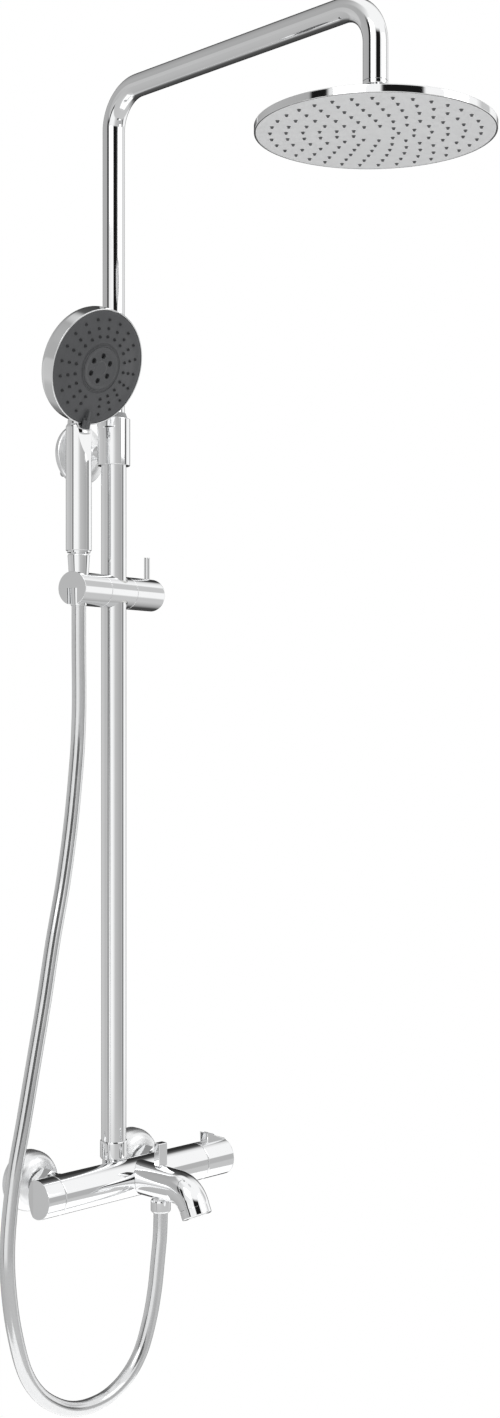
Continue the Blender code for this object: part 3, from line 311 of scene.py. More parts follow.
def rounded(profile: Sequence[Point2], count: int = 4) -> list[Vector]:
    """Rounds the corners of a turned profile.

    Args:
        profile: (radius, height) points, with a third number where the corner is rounded.
        count: how many steps each rounding takes.

    Returns:
        The profile's points.
    """
    points = [Vector(point[:2]) for point in profile]
    made: list[Vector] = []
    for i, point in enumerate(profile):
        if len(point) > 2 and 0 < i < len(profile) - 1:
            made += corner_points(points[i - 1], points[i], points[i + 1], point[2], count)
        else:
            made.append(points[i])
    return made


def facing(at: Iterable[float], axis: Iterable[float] = UP) -> Matrix:
    """A placing matrix that puts local Z along an axis.

    Args:
        at: where the local origin goes.
        axis: where local Z points.

    Returns:
        The matrix.
    """
    turn = UP.rotation_difference(Vector(axis)).to_matrix().to_4x4()
    return Matrix.Translation(Vector(at)) @ turn


def as_object(name: str, shape: bmesh.types.BMesh, place: Matrix | None = None,
              crease: float = 32.0) -> bpy.types.Object:
    """Makes a smooth-shaded object from a built shape.

    Args:
        name: the piece's name.
        shape: the shape, which is freed.
        place: a matrix that the shape is moved by.
        crease: the angle in degrees over which an edge stays sharp.

    Returns:
        The object, linked to the scene.
    """
    bmesh.ops.recalc_face_normals(shape, faces=shape.faces)
    if place is not None:
        shape.transform(place)
    mesh = bpy.data.meshes.new(name)
    shape.to_mesh(mesh)
    shape.free()
    made = bpy.data.objects.new(name, mesh)
    bpy.context.scene.collection.objects.link(made)
    smooth(made, crease)
    return made


def smooth(piece: bpy.types.Object, crease: float = 32.0) -> bpy.types.Object:
    """Shades a piece smooth, with sharp edges kept and large faces kept true.

    Args:
        piece: the mesh object.
        crease: the angle in degrees over which an edge stays sharp.

    Returns:
        The same object.
    """
    piece.data.shade_smooth()
    piece.data.set_sharp_from_angle(angle=math.radians(crease))
    if "Even" not in piece.modifiers:
        even = piece.modifiers.new("Even", "WEIGHTED_NORMAL")
        even.keep_sharp = True
        even.weight = 80
    return piece


def turned(
    name: str, profile: Sequence[Point2], place: Matrix | None = None, steps: int = 96, count: int = 4
) -> bpy.types.Object:
    """Turns a profile about local Z.

    Args:
        name: the piece's name.
        profile: (radius, height) points of a closed outline, or of one that starts and ends on the axis.
        place: where it goes.
        steps: how many flats go round.
        count: how many steps each rounded corner takes.

    Returns:
        The object.
    """
    outline = rounded(profile, count)
    shape = bmesh.new()
    rings = []
    for point in outline:
        if point.x < 1e-7:
            rings.append([shape.verts.new((0, 0, point.y))])
            continue
        angles = (2 * math.pi * i / steps for i in range(steps))
        rings.append(
            [shape.verts.new((point.x * math.cos(a), point.x * math.sin(a), point.y)) for a in angles]
        )
    pairs = list(zip(rings, rings[1:]))
    if len(rings[0]) > 1:
        pairs.append((rings[-1], rings[0]))
    for low, high in pairs:
        for i in range(steps):
            j = (i + 1) % steps
            loop = [low[i % len(low)], low[j % len(low)], high[j % len(high)], high[i % len(high)]]
            corners = list(dict.fromkeys(loop))
            if len(corners) > 2:
                shape.faces.new(corners)
    return as_object(name, shape, place)


def arc_points(centre: Vector, start: Vector, end: Vector, count: int) -> list[Vector]:
    """Points along a circular arc, start included.

    Args:
        centre: the arc's centre.
        start: its first point.
        end: its last point.
        count: how many steps it takes.

    Returns:
        The points.
    """
    first, last = start - centre, end - centre
    turn = first.rotation_difference(last)
    return [centre + Quaternion().slerp(turn, i / count) @ first for i in range(count + 1)]


def swept(
    name: str, line: Sequence[Vector], radii: Sequence[float], sides: int = 64, ends: bool = True
) -> bpy.types.Object:
    """A round bar along a line, with frames that don't twist.

    Args:
        name: the piece's name.
        line: the centreline's points.
        radii: the radius at each point.
        sides: how many sides the section has.
        ends: whether the ends are closed.

    Returns:
        The object.
    """
    points = np.array([tuple(p) for p in line])
    ahead = np.gradient(points, axis=0)
    ahead /= np.linalg.norm(ahead, axis=1)[:, None]
    across = np.cross(ahead[0], (0.31, 0.95, 0.08))
    across /= np.linalg.norm(across)
    angles = 2 * np.pi * np.arange(sides) / sides
    shape = bmesh.new()
    rings = []
    for point, forward, radius in zip(points, ahead, radii):
        across = across - forward * across.dot(forward)
        across /= np.linalg.norm(across)
        other = np.cross(forward, across)
        ring = point + radius * (np.outer(np.cos(angles), across) + np.outer(np.sin(angles), other))
        rings.append([shape.verts.new(p) for p in ring])
    for low, high in zip(rings, rings[1:]):
        for i in range(sides):
            j = (i + 1) % sides
            shape.faces.new((low[i], low[j], high[j], high[i]))
    if ends:
        shape.faces.new(rings[0])
        shape.faces.new(rings[-1])
    return as_object(name, shape)


def block(
    name: str, low: Iterable[float], high: Iterable[float], edge: float, place: Matrix | None = None,
    segments: int = 4
) -> bpy.types.Object:
    """A box with rounded edges.

    Args:
        name: the piece's name.
        low: its lowest corner.
        high: its highest corner.
        edge: the edges' rounding, or 0 for sharp ones.
        place: where it goes.
        segments: how many steps the rounding takes.

    Returns:
        The object.
    """
    low, high = Vector(low), Vector(high)
    shape = bmesh.new()
    bmesh.ops.create_cube(
        shape, size=1, matrix=Matrix.Translation((low + high) / 2) @ Matrix.Diagonal((*(high - low), 1))
    )
    if edge:
        bmesh.ops.bevel(
            shape, geom=shape.edges[:], offset=edge, segments=segments, profile=0.5, affect="EDGES"
        )
    return as_object(name, shape, place)


def settled(piece: bpy.types.Object) -> bpy.types.Object:
    """Applies a piece's modifiers to its mesh."""
    graph = bpy.context.evaluated_depsgraph_get()
    old = piece.data
    piece.data = bpy.data.meshes.new_from_object(piece.evaluated_get(graph))
    piece.modifiers.clear()
    bpy.data.meshes.remove(old)
    return piece


def combined(piece: bpy.types.Object, others: Sequence[bpy.types.Object], how: Cut,
             crease: float = 32.0) -> bpy.types.Object:
    """Cuts other shapes away from a piece, or joins them to it.

    Args:
        piece: the piece that stays.
        others: the shapes to combine with it, which are removed.
        how: cut away or joined.
        crease: the angle in degrees over which an edge stays sharp.

    Returns:
        The piece.
    """
    piece.modifiers.clear()
    for other in others:
        other.modifiers.clear()
        step = piece.modifiers.new(other.name, "BOOLEAN")
        step.solver = "EXACT"
        step.operation = how.value
        step.object = other
    settled(piece)
    for other in others:
        bpy.data.objects.remove(other, do_unlink=True)
    return smooth(piece, crease)


def merged(name: str, pieces: Sequence[bpy.types.Object]) -> bpy.types.Object:
    """Puts several small shapes into one object.

    Args:
        name: the new object's name.
        pieces: the shapes, which are removed.

    Returns:
        The object.
    """
    shape = bmesh.new()
    for piece in pieces:
        shape.from_mesh(piece.data)
        bpy.data.objects.remove(piece, do_unlink=True)
    return as_object(name, shape)


def repeated(name: str, profile: Sequence[Point2], places: Sequence[Matrix], steps: int) -> bpy.types.Object:
    """Turns a small profile once and copies it to many places, as one object.

    Args:
        name: the object's name.
        profile: the profile of one copy.
        places: where each copy goes.
        steps: how many flats go round.

    Returns:
        The object.
    """
    pattern = turned(name + "_pattern", profile, steps=steps, count=2)
    shape = bmesh.new()
    for place in places:
        copy = pattern.data.copy()
        copy.transform(place)
        shape.from_mesh(copy)
        bpy.data.meshes.remove(copy)
    bpy.data.objects.remove(pattern, do_unlink=True)
    return as_object(name, shape)


# ---------------------------------------------------------------------------------- sub-assemblies


class SubAssembly:
    """A group of pieces that are made and dressed together."""

    def build(self) -> None:
        """Makes every piece of the group."""
        raise NotImplementedError

    def dress(self, piece: bpy.types.Object, finish: Finish, body: Body, *nodes: str) -> bpy.types.Object:
        """Gives a new piece its finish and its body.

        Args:
            piece: the piece.
            finish: its finish.
            body: the body it rides on.
            nodes: the CAD nodes that it stands for.

        Returns:
            The piece.
        """
        piece.data.materials.clear()
        piece.data.materials.append(finish.material())
        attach(piece, body.value)
        if nodes:
            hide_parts(*nodes)
        LOG.info("%s: %s, rides on %s", type(self).__name__, piece.name, body.value)
        return piece

    def refinish(self, finish: Finish, *nodes: str) -> None:
        """Gives CAD nodes whose shape is right a better finish.

        Args:
            finish: the finish.
            nodes: the nodes.
        """
        for node in nodes:
            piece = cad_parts[node]
            piece.data.materials.clear()
            piece.data.materials.append(finish.material())
            LOG.info("%s: %s keeps its CAD shape", type(self).__name__, node)


def middle(node: str) -> Vector:
    """The middle of a CAD node's box."""
    low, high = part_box(node)
    return (Vector(low) + Vector(high)) / 2


def span(node: str, axis: int) -> tuple[float, float]:
    """A CAD node's lowest and highest coordinate along an axis."""
    low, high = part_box(node)
    return low[axis], high[axis]


@dataclass
class Column(SubAssembly):
    """The telescopic riser with its bent arm, and the nut and seal on it."""

    lower_radius: float = 14 * MM
    upper_radius: float = 12.3 * MM
    bend_radius: float = 42 * MM
    reach: float = 385 * MM
    nut_radius: float = 15.2 * MM
    lip: float = 0.5 * MM

    def build(self) -> None:
        """Makes the tubes, the nut and the seal."""
        middle_x, y, _ = middle("lower_tube")
        foot, top = span("lower_tube", 2)
        inner = self.lower_radius - 1.2 * MM
        self.dress(
            turned(
                "riser_lower_tube",
                ((inner, foot), (self.lower_radius, foot), (self.lower_radius, top, self.lip), (inner, top)),
                facing((middle_x, y, 0)), steps=128,
            ),
            CHROME, Body.MIXER, "lower_tube",
        )
        self.dress(self.arm(y), CHROME, Body.ARM, "upper_tube")
        foot, top = span("riser_nut", 2)
        bore = self.lower_radius + 0.2 * MM
        r = self.nut_radius
        self.dress(
            turned(
                "riser_union_nut",
                ((bore, foot), (r - 1.6 * MM, foot), (r, foot + 1.4 * MM, 0.5 * MM),
                 (r, top - 1.6 * MM, 0.8 * MM), (bore + 0.5 * MM, top, 0.3 * MM), (bore, top)),
                facing((middle_x, y, 0)), steps=128,
            ),
            CHROME, Body.MIXER, "riser_nut",
        )
        foot, top = span("column_gasket", 2)
        bore = self.upper_radius + 0.15 * MM
        self.dress(
            turned(
                "column_wiper_seal",
                ((bore, foot), (bore + 2.7 * MM, foot, 0.3 * MM),
                 (bore + 2.4 * MM, foot + 1.5 * MM, 0.5 * MM), (bore + 0.9 * MM, top, 0.4 * MM),
                 (bore, top)),
                facing((middle_x, y, 0)),
            ),
            GASKET_GREY, Body.MIXER, "column_gasket",
        )
        self.refinish(NYLON, "column_guide")
        self.refinish(RUBBER, "riser_washer")

    def arm(self, y: float) -> bpy.types.Object:
        """Sweeps the upper tube from its foot, over the arm and down to the rain head.

        Args:
            y: the riser's place.

        Returns:
            The tube.
        """
        foot, top = span("upper_tube", 2)
        drop = self.drop_end()
        r = self.bend_radius
        height = top - self.upper_radius
        far = y - self.reach
        near_bend = arc_points(
            Vector((0, y - r, height - r)), Vector((0, y, height - r)), Vector((0, y - r, height)), 28
        )
        far_bend = arc_points(
            Vector((0, far + r, height - r)), Vector((0, far + r, height)), Vector((0, far, height - r)), 28
        )
        run = [near_bend[-1].lerp(far_bend[0], i / 12) for i in range(1, 12)]
        rise = [Vector((0, y, foot)).lerp(near_bend[0], i / 16) for i in range(16)]
        fall = [far_bend[-1].lerp(Vector((0, far, drop)), i / 4) for i in range(1, 5)]
        line = rise + near_bend + run + far_bend + fall
        return swept("riser_upper_tube_and_arm", line, [self.upper_radius] * len(line), sides=96)

    def drop_end(self) -> float:
        """The height at which the arm's drop pipe ends, just above the ball stem's shoulder."""
        return span("ball_stem", 2)[1] - 13.5 * MM


@dataclass
class WallBracket(SubAssembly):
    """The collar round the column, and its arm, rosette and fixings at the wall."""

    collar_radius: float = 18.25 * MM
    arm_radius: float = 8 * MM
    rosette_radius: float = 34.2 * MM
    slot_width: float = 14 * MM
    slot_height: float = 1.5 * MM
    slot_depth: float = 4.6 * MM
    slot_drop: float = 11 * MM
    slot_turn: float = math.radians(-59)

    def build(self) -> None:
        """Makes the collar, the arm and the rosette."""
        x, y, _ = middle("bracket_collar")
        foot, top = span("bracket_collar", 2)
        r = self.collar_radius
        bore = 14.2 * MM
        collar = turned(
            "bracket_collar_sleeve",
            ((bore, foot), (r, foot, 0.9 * MM), (r, top, 1.1 * MM), (bore - 1.6 * MM, top, 0.4 * MM),
             (bore - 1.6 * MM, top - 9 * MM), (bore, top - 9 * MM)),
            facing((x, y, 0)), steps=160,
        )
        slot = block(
            "collar_slot", (-self.slot_width / 2, -r - MM, -self.slot_height / 2),
            (self.slot_width / 2, -r + self.slot_depth, self.slot_height / 2), 0,
            Matrix.Translation((x, y, top - self.slot_drop)) @ Matrix.Rotation(self.slot_turn, 4, "Z"),
        )
        self.dress(combined(collar, [slot], Cut.AWAY), CHROME, Body.MIXER, "bracket_collar")
        height = middle("bracket_arm").z
        at = facing((x, 0, height), OUT)
        plate_front = -span("bracket_wall_plate", 1)[0]
        self.dress(
            turned(
                "bracket_bar",
                ((0, plate_front + 0.3 * MM), (self.arm_radius, plate_front + 0.3 * MM),
                 (self.arm_radius, -y - r + 2 * MM), (0, -y - r + 2 * MM)),
                at,
            ),
            CHROME, Body.MIXER, "bracket_arm",
        )
        depth = -span("bracket_rosette", 1)[0]
        r = self.rosette_radius
        hole = self.arm_radius + 0.3 * MM
        self.dress(
            turned(
                "bracket_cover_rosette",
                ((r, 0.2 * MM), (r, depth * 0.62, 2.6 * MM), (r * 0.72, depth * 0.97, 6 * MM),
                 (hole, depth, 0.4 * MM), (hole, depth - 1.2 * MM), (r * 0.7, depth - 1.8 * MM),
                 (r - 1.2 * MM, depth * 0.5), (r - 1.2 * MM, 0.2 * MM)),
                at, steps=144, count=8,
            ),
            ROSETTE, Body.MIXER, "bracket_rosette",
        )
        self.refinish(BRASS, "bracket_wall_plate")
        self.refinish(STEEL, "wall_screw_upper", "wall_screw_lower")
        self.refinish(GASKET_GREY, "wall_plug_upper", "wall_plug_lower")


@dataclass
class RainHead(SubAssembly):
    """The flat round rain head on its ball joint."""

    radius: float = 117.5 * MM
    rim: float = 7.6 * MM
    rings: tuple[tuple[float, int, float], ...] = (
        (0.867, 34, 0.7), (0.735, 29, 0.9), (0.597, 24, 0.1), (0.462, 19, 0.35), (0.325, 14, 0.6),
        (0.19, 9, 0.8),
    )
    nub_radius: float = 1.7 * MM
    nub_height: float = 1.9 * MM
    ball_radius: float = 8 * MM

    def build(self) -> None:
        """Makes the shell, the plate with its nozzles, the stem and the swivel nut."""
        x, y, _ = middle("rain_head_shell")
        foot, top = span("rain_head_shell", 2)
        at = facing((x, y, foot))
        r, rim = self.radius, self.rim
        height = top - foot
        self.dress(
            turned(
                "rain_head_cover",
                ((r - 1.3 * MM, 0), (r, 0, 0.6 * MM), (r, rim, 1.2 * MM),
                 (r * 0.62, rim + 3.2 * MM, 20 * MM), (22 * MM, rim + 5.2 * MM, 6 * MM),
                 (13.2 * MM, rim + 6.6 * MM, 1.5 * MM), (13.2 * MM, height, 0.6 * MM),
                 (10.8 * MM, height), (10.8 * MM, 12 * MM), (22 * MM, 9 * MM), (r - 4 * MM, 4.3 * MM),
                 (r - 1.3 * MM, 4.0 * MM)),
                at, steps=192, count=8,
            ),
            PLATED, Body.RAIN_HEAD, "rain_head_shell",
        )
        plate = r - 1.6 * MM
        self.dress(
            turned(
                "rain_spray_plate", ((0, 0.2 * MM), (plate, 0.2 * MM, 0.5 * MM), (plate, 1.6 * MM),
                                     (0, 1.6 * MM)), at, steps=160
            ),
            SATIN_CHROME, Body.RAIN_HEAD, "rain_nozzle_plate",
        )
        places = []
        for share, count, shift in self.rings:
            for i in range(count):
                angle = 2 * math.pi * (i + shift) / count
                spot = Vector((x + share * r * math.cos(angle), y + share * r * math.sin(angle),
                               foot + 0.3 * MM))
                places.append(facing(spot, -UP))
        n, h = self.nub_radius, self.nub_height
        self.dress(
            repeated(
                "rain_nozzles",
                ((0, 0), (n * 1.25, 0), (n * 1.2, 0.25 * MM, 0.1 * MM), (n * 0.95, 0.4 * MM),
                 (n * 0.72, h, 0.2 * MM), (n * 0.38, h), (n * 0.3, h * 0.5), (0, h * 0.5)),
                places, 14,
            ),
            NOZZLE_GREY, Body.RAIN_HEAD,
        )
        ball = middle("lower_ball_seat")
        ball.z = span("ball_stem", 2)[0] + self.ball_radius
        self.dress(self.stem(ball), CHROME, Body.ARM, "ball_stem")
        foot, top = span("swivel_nut", 2)
        r = (span("swivel_nut", 0)[1] - span("swivel_nut", 0)[0]) / 2
        self.dress(
            turned(
                "rain_head_swivel_nut",
                ((r - 2.2 * MM, foot), (r - 0.6 * MM, foot, 0.3 * MM), (r, foot + 0.8 * MM, 0.3 * MM),
                 (r, top - 4.2 * MM, 1.5 * MM), (r - 4.4 * MM, top, 1.2 * MM), (7.7 * MM, top, 0.5 * MM),
                 (7.7 * MM, top - 3 * MM), (r - 2.2 * MM, top - 5 * MM)),
                facing((x, y, 0)), steps=128,
            ),
            CHROME, Body.RAIN_HEAD, "swivel_nut",
        )
        self.refinish(NOZZLE_GREY, "rain_nozzle_mat")
        self.refinish(NYLON, "upper_ball_seat", "lower_ball_seat")

    def stem(self, ball: Vector) -> bpy.types.Object:
        """The ball with its neck and the shoulder that meets the drop pipe.

        Args:
            ball: the ball's centre.

        Returns:
            The stem.
        """
        r, neck = self.ball_radius, 4.5 * MM
        shoulder = span("ball_stem", 2)[1] - ball.z - 18 * MM
        top = span("ball_stem", 2)[1] - ball.z
        last = math.pi - math.asin(neck / r)
        sphere = [(r * math.sin(a), -r * math.cos(a)) for a in (last * i / 24 for i in range(25))]
        outer = 12.3 * MM
        return turned(
            "rain_head_ball_stem",
            [*sphere, (neck, shoulder, 0.6 * MM), (outer, shoulder, 0.8 * MM),
             (outer, shoulder + 4.2 * MM, 0.3 * MM), (10.8 * MM, shoulder + 4.3 * MM),
             (10.8 * MM, top), (0, top)],
            facing(ball),
        )


@dataclass
class Slider(SubAssembly):
    """The sliding holder: its body, clamp lever and tilting socket, turned a little on the column."""

    radius: float = 18.25 * MM
    turn: float = math.radians(14.5)
    left: float = -79 * MM
    right: float = 79 * MM
    body_left: float = -28 * MM
    body_right: float = 22 * MM
    socket_at: float = -66.5 * MM
    slot_width: float = 13 * MM
    pin_at: float = 67 * MM
    pin_radius: float = 3.3 * MM
    pin_top: float = 43 * MM
    bore: float = 14.4 * MM

    def build(self) -> None:
        """Makes the three chrome lengths of the bar, with the bore, the socket and the pin."""
        centre = middle("slider_bush")
        self.place = Matrix.Translation(centre) @ Matrix.Rotation(self.turn, 4, "Z")
        along = self.place @ facing((0, 0, 0), ACROSS)
        r = self.radius
        edge = 0.35 * MM
        body = turned(
            "slider_body_barrel",
            ((0, self.body_left), (r, self.body_left, edge), (r, self.body_right, edge),
             (0, self.body_right)), along, steps=160,
        )
        bore = turned("slider_bore", ((0, -0.03), (15.6 * MM, -0.03), (15.6 * MM, 0.03), (0, 0.03)),
                      self.place, steps=128)
        self.dress(combined(body, [bore], Cut.AWAY), PLATED, Body.SLIDER, "slider_body")
        lever = turned(
            "slider_clamp_lever",
            ((0, self.body_right + 0.3 * MM), (r, self.body_right + 0.3 * MM, edge),
             (r, self.right - 1.2 * MM, 2.8 * MM), (r * 0.7, self.right, 3 * MM), (0, self.right)),
            along, steps=160, count=8,
        )
        pin = turned(
            "lever_pin",
            ((0, 0), (self.pin_radius, 0), (self.pin_radius, self.pin_top, 0.8 * MM), (0, self.pin_top)),
            self.place @ facing((self.pin_at, 0, 0)), steps=64,
        )
        self.dress(combined(lever, [pin], Cut.TOGETHER), PLATED, Body.CLAMP_LEVER, "clamp_lever")
        self.dress(self.holder(along), PLATED, Body.HOLDER, "handset_holder")
        self.refinish(NYLON, "slider_bush", "clamp_shoe")
        self.refinish(STEEL, "holder_axle")

    def holder(self, along: Matrix) -> bpy.types.Object:
        """The tilting end with its conical socket and the slot that lets the hose in.

        Args:
            along: the placing matrix of the bar's axis.

        Returns:
            The holder.
        """
        r = self.radius
        barrel = turned(
            "handset_holder_barrel",
            ((0, self.left), (r, self.left, 0.5 * MM), (r, self.body_left - 0.3 * MM, 0.35 * MM),
             (0, self.body_left - 0.3 * MM)),
            along, steps=160,
        )
        tall = 19 * MM
        low, high = 9.05 * MM, 11.4 * MM
        socket = turned(
            "socket", ((0, -tall), (low, -tall), (high, tall), (0, tall)),
            self.place @ facing((self.socket_at, 0, 0)), steps=96
        )
        slot = block(
            "slot", (self.left - 2 * MM, -self.slot_width / 2, -tall),
            (self.socket_at, self.slot_width / 2, 0), 0, self.place
        )
        return combined(barrel, [socket, slot], Cut.AWAY)


@dataclass
class Handset(SubAssembly):
    """The handset that stands in the holder, with its spray face and the hose's conical nut."""

    facing_turn: float = math.radians(2.6)
    tilt: float = math.radians(20.5)
    head_radius: float = 62.9 * MM
    depth: float = 23 * MM
    face_forward: float = 30.4 * MM
    face_height: float = 888.3 * MM
    rim: float = 1.35 * MM
    dome: float = 4.8 * MM
    grip_cut_from: float = 796 * MM
    grip_cut_turn: float = math.radians(10.5)
    handle_radius: float = 14 * MM
    groups: int = 20
    rows: tuple[tuple[float, float], ...] = (
        (34.2 * MM, 3.6 * MM), (42.8 * MM, 2.0 * MM), (52 * MM, 0.35 * MM),
    )
    disc_radius: float = 23 * MM
    outlets: int = 6
    outlet_circle: float = 13.4 * MM

    def build(self) -> None:
        """Makes the shell, the face with its nozzles, the centre disc and the nut."""
        foot = middle("cone_nut")
        turn = Matrix.Rotation(self.facing_turn, 4, "Z")
        self.stand = Matrix.Translation((foot.x, foot.y, 0)) @ turn
        normal = Vector((0, -math.cos(self.tilt), -math.sin(self.tilt)))
        self.head = self.stand @ facing((0, -self.face_forward, self.face_height), normal)
        down = (self.head.to_3x3().inverted() @ -UP)
        self.down_angle = math.atan2(down.y, down.x)
        self.dress(self.shell(), PLATED, Body.HANDSET, "handset_shell")
        self.dress(self.face(), FACE_GREY, Body.SPRAY_SELECTOR, "spray_face")
        self.dress(self.face_nozzles(), NOZZLE_DARK, Body.SPRAY_SELECTOR)
        self.dress(self.disc(), FACE_GREY, Body.HANDSET, "spray_disc")
        self.dress(self.nut(foot), CHROME, Body.HOSE_END, "cone_nut")
        self.refinish(NOZZLE_DARK, "handset_nozzle_mat")
        self.refinish(RUBBER, "handset_washer")

    def shell(self) -> bpy.types.Object:
        """The chrome drum with its neck and straight handle.

        Returns:
            The shell.
        """
        r, depth = self.head_radius, self.depth
        drum = turned(
            "handset_body",
            ((0, -depth - 1.5 * MM), (r * 0.5, -depth - 1.2 * MM, 10 * MM),
             (r, -depth + 0.8 * MM, 9 * MM), (r, 0, 0.7 * MM), (r - self.rim, 0, 0.3 * MM),
             (r - self.rim, -6 * MM), (0, -6 * MM)),
            self.head, steps=192, count=10,
        )
        foot, _ = span("handset_shell", 2)
        top = self.face_height - 60.3 * MM
        h = self.handle_radius
        thread = 8.5 * MM
        handle = turned(
            "handle",
            ((0, foot), (thread, foot), (thread, foot + 10 * MM), (h - 1.4 * MM, foot + 10.2 * MM),
             (h - 1.4 * MM, foot + 12.2 * MM), (h, foot + 12.6 * MM, 0.4 * MM),
             *((h, foot + (20 + 8 * i) * MM) for i in range(14)), (h, top, 1.5 * MM),
             (h - 1.6 * MM, top + 2.5 * MM, 0.8 * MM), (0, top + 2.5 * MM)),
            self.stand, steps=128, count=8,
        )
        end = self.face_height - 26 * MM
        spine = [Vector((0, 0, top - 8 * MM)), Vector((0, 0, top + 5 * MM)),
                 Vector((0, -2 * MM, top + 14 * MM)),
                 Vector((0, -5 * MM, end - 6 * MM)), Vector((0, -9 * MM, end))]
        line = [self.stand @ point for point in spine]
        neck = swept("neck", line, [h - 1.5 * MM, h - 2 * MM, h - 2.5 * MM, h - 1.5 * MM, h], sides=96)
        notch = turned("notch", ((0, 0), (r + 1.5 * MM, 0), (r + 1.5 * MM, 40 * MM), (0, 40 * MM)), self.head,
                       steps=192)
        tab_room = turned("tab_room", ((0, 1.7 * MM), (r + 5 * MM, 1.7 * MM), (r + 5 * MM, 40 * MM),
                                       (0, 40 * MM)), self.head, steps=192)
        inner = r - self.rim
        well = turned("well", ((0, -6 * MM), (inner, -6 * MM), (inner, 2 * MM), (0, 2 * MM)), self.head,
                      steps=192)
        grip = block(
            "grip_cut", (-30 * MM, -40 * MM, 0), (30 * MM, 0, 60 * MM), 0,
            self.stand @ Matrix.Translation((0, -h,
                                             self.grip_cut_from)) @ Matrix.Rotation(-self.grip_cut_turn, 4,
                                                                                    "X"),
        )
        combined(handle, [grip], Cut.AWAY)
        combined(drum, [handle, neck], Cut.TOGETHER)
        return combined(drum, [notch, tab_room, well], Cut.AWAY, crease=14)

    def face(self) -> bpy.types.Object:
        """The grey ring of the face, with its raised centre rim and the selector tab.

        Returns:
            The face.
        """
        r, disc, dome = self.head_radius - self.rim - 0.3 * MM, self.disc_radius + 0.3 * MM, self.dome
        ring = turned(
            "spray_face_ring",
            ((disc, -5.5 * MM), (r, -5.5 * MM), (r, -0.5 * MM, 0.4 * MM),
             (r - 2.5 * MM, 0.05 * MM, 2 * MM), (r * 0.84, 0.07 * dome, 4 * MM),
             (r * 0.70, 0.40 * dome, 4 * MM), (r * 0.56, 0.73 * dome, 3 * MM),
             (r * 0.445, 0.92 * dome, 0.8 * MM), (r * 0.435, 0.92 * dome - 1.1 * MM, 0.3 * MM),
             (r * 0.405, 0.92 * dome - 1.1 * MM, 0.3 * MM), (r * 0.395, dome, 0.5 * MM),
             (disc, dome - 0.3 * MM)),
            self.head, steps=192, count=6,
        )
        turn = self.head @ Matrix.Rotation(self.down_angle, 4, "Z")
        out = self.head_radius + 4 * MM
        tab = block("tab", (r - 4 * MM, -5.2 * MM, 2.1 * MM), (out, 5.2 * MM, 4.9 * MM), 1.1 * MM, turn)
        fin = block("fin", (47 * MM, -1.5 * MM, -1 * MM), (out - 1.5 * MM, 1.5 * MM, 5.6 * MM), 0.9 * MM,
                    turn)
        foot = block("foot", (r - 6 * MM, -4 * MM, -3 * MM), (r - 0.8 * MM, 4 * MM, 3 * MM), 0.8 * MM, turn)
        under = block("under", (r - 0.5 * MM, -8 * MM, -4 * MM), (out + 3 * MM, 8 * MM, 2.05 * MM), 0, turn)
        combined(fin, [under], Cut.AWAY)
        return combined(ring, [foot, tab, fin], Cut.TOGETHER)

    def face_nozzles(self) -> bpy.types.Object:
        """Rows of three nozzles that run out from the centre.

        Returns:
            The nozzles, as one object.
        """
        places = []
        for i in range(1, self.groups):
            angle = self.down_angle + 2 * math.pi * i / self.groups
            for radius, height in self.rows:
                places.append(self.head @ Matrix.Translation((radius * math.cos(angle),
                                                              radius * math.sin(angle), height)))
        return repeated(
            "handset_nozzles",
            ((0, -0.5 * MM), (1.9 * MM, -0.5 * MM), (1.8 * MM, 0.35 * MM, 0.1 * MM), (1.3 * MM, 0.5 * MM),
             (1.15 * MM, 1.6 * MM, 0.3 * MM), (0.55 * MM, 1.6 * MM), (0.5 * MM, 0.8 * MM), (0, 0.8 * MM)),
            places, 14,
        )

    def disc(self) -> bpy.types.Object:
        """The dished centre disc with six round outlets.

        Returns:
            The disc.
        """
        r, dome = self.disc_radius, self.dome
        disc = turned(
            "spray_centre_disc",
            ((0, -5.5 * MM), (r, -5.5 * MM), (r, dome + 0.2 * MM, 0.3 * MM),
             (r - 1.5 * MM, dome + 0.6 * MM, 0.5 * MM), (r * 0.80, dome - 0.5 * MM, 1.5 * MM),
             (r * 0.36, dome - 0.1 * MM, 0.8 * MM), (r * 0.30, dome + 0.5 * MM, 0.4 * MM),
             (0, dome + 0.6 * MM)),
            self.head, steps=128, count=6,
        )
        holes = []
        out = self.outlet_circle
        for i in range(self.outlets):
            angle = self.down_angle + 2 * math.pi * i / self.outlets
            at = self.head @ Matrix.Translation((out * math.cos(angle), out * math.sin(angle), dome))
            hole = ((0, -4.5 * MM), (2.9 * MM, -4.5 * MM), (3.2 * MM, 3 * MM), (0, 3 * MM))
            holes.append(turned(f"outlet_{i}", hole, at, steps=40))
        return combined(disc, holes, Cut.AWAY)

    def nut(self, foot: Vector) -> bpy.types.Object:
        """The conical nut at the hose's upper end.

        Args:
            foot: the middle of the CAD nut.

        Returns:
            The nut.
        """
        low, high = span("cone_nut", 2)
        top = (span("cone_nut", 0)[1] - span("cone_nut", 0)[0]) / 2
        hose = 8.1 * MM
        return turned(
            "hose_cone_nut",
            ((hose, low + 3 * MM), (hose, low, 0.2 * MM), (8.7 * MM, low, 0.3 * MM),
             (top - 0.3 * MM, high - 3 * MM, 0.8 * MM), (top, high - 1.2 * MM, 0.5 * MM),
             (top - 0.7 * MM, high, 0.5 * MM), (8.8 * MM, high), (8.8 * MM, high - 12 * MM),
             (5.5 * MM, high - 12 * MM), (5.5 * MM, low + 3 * MM)),
            facing((foot.x, foot.y, 0)), steps=128,
        )


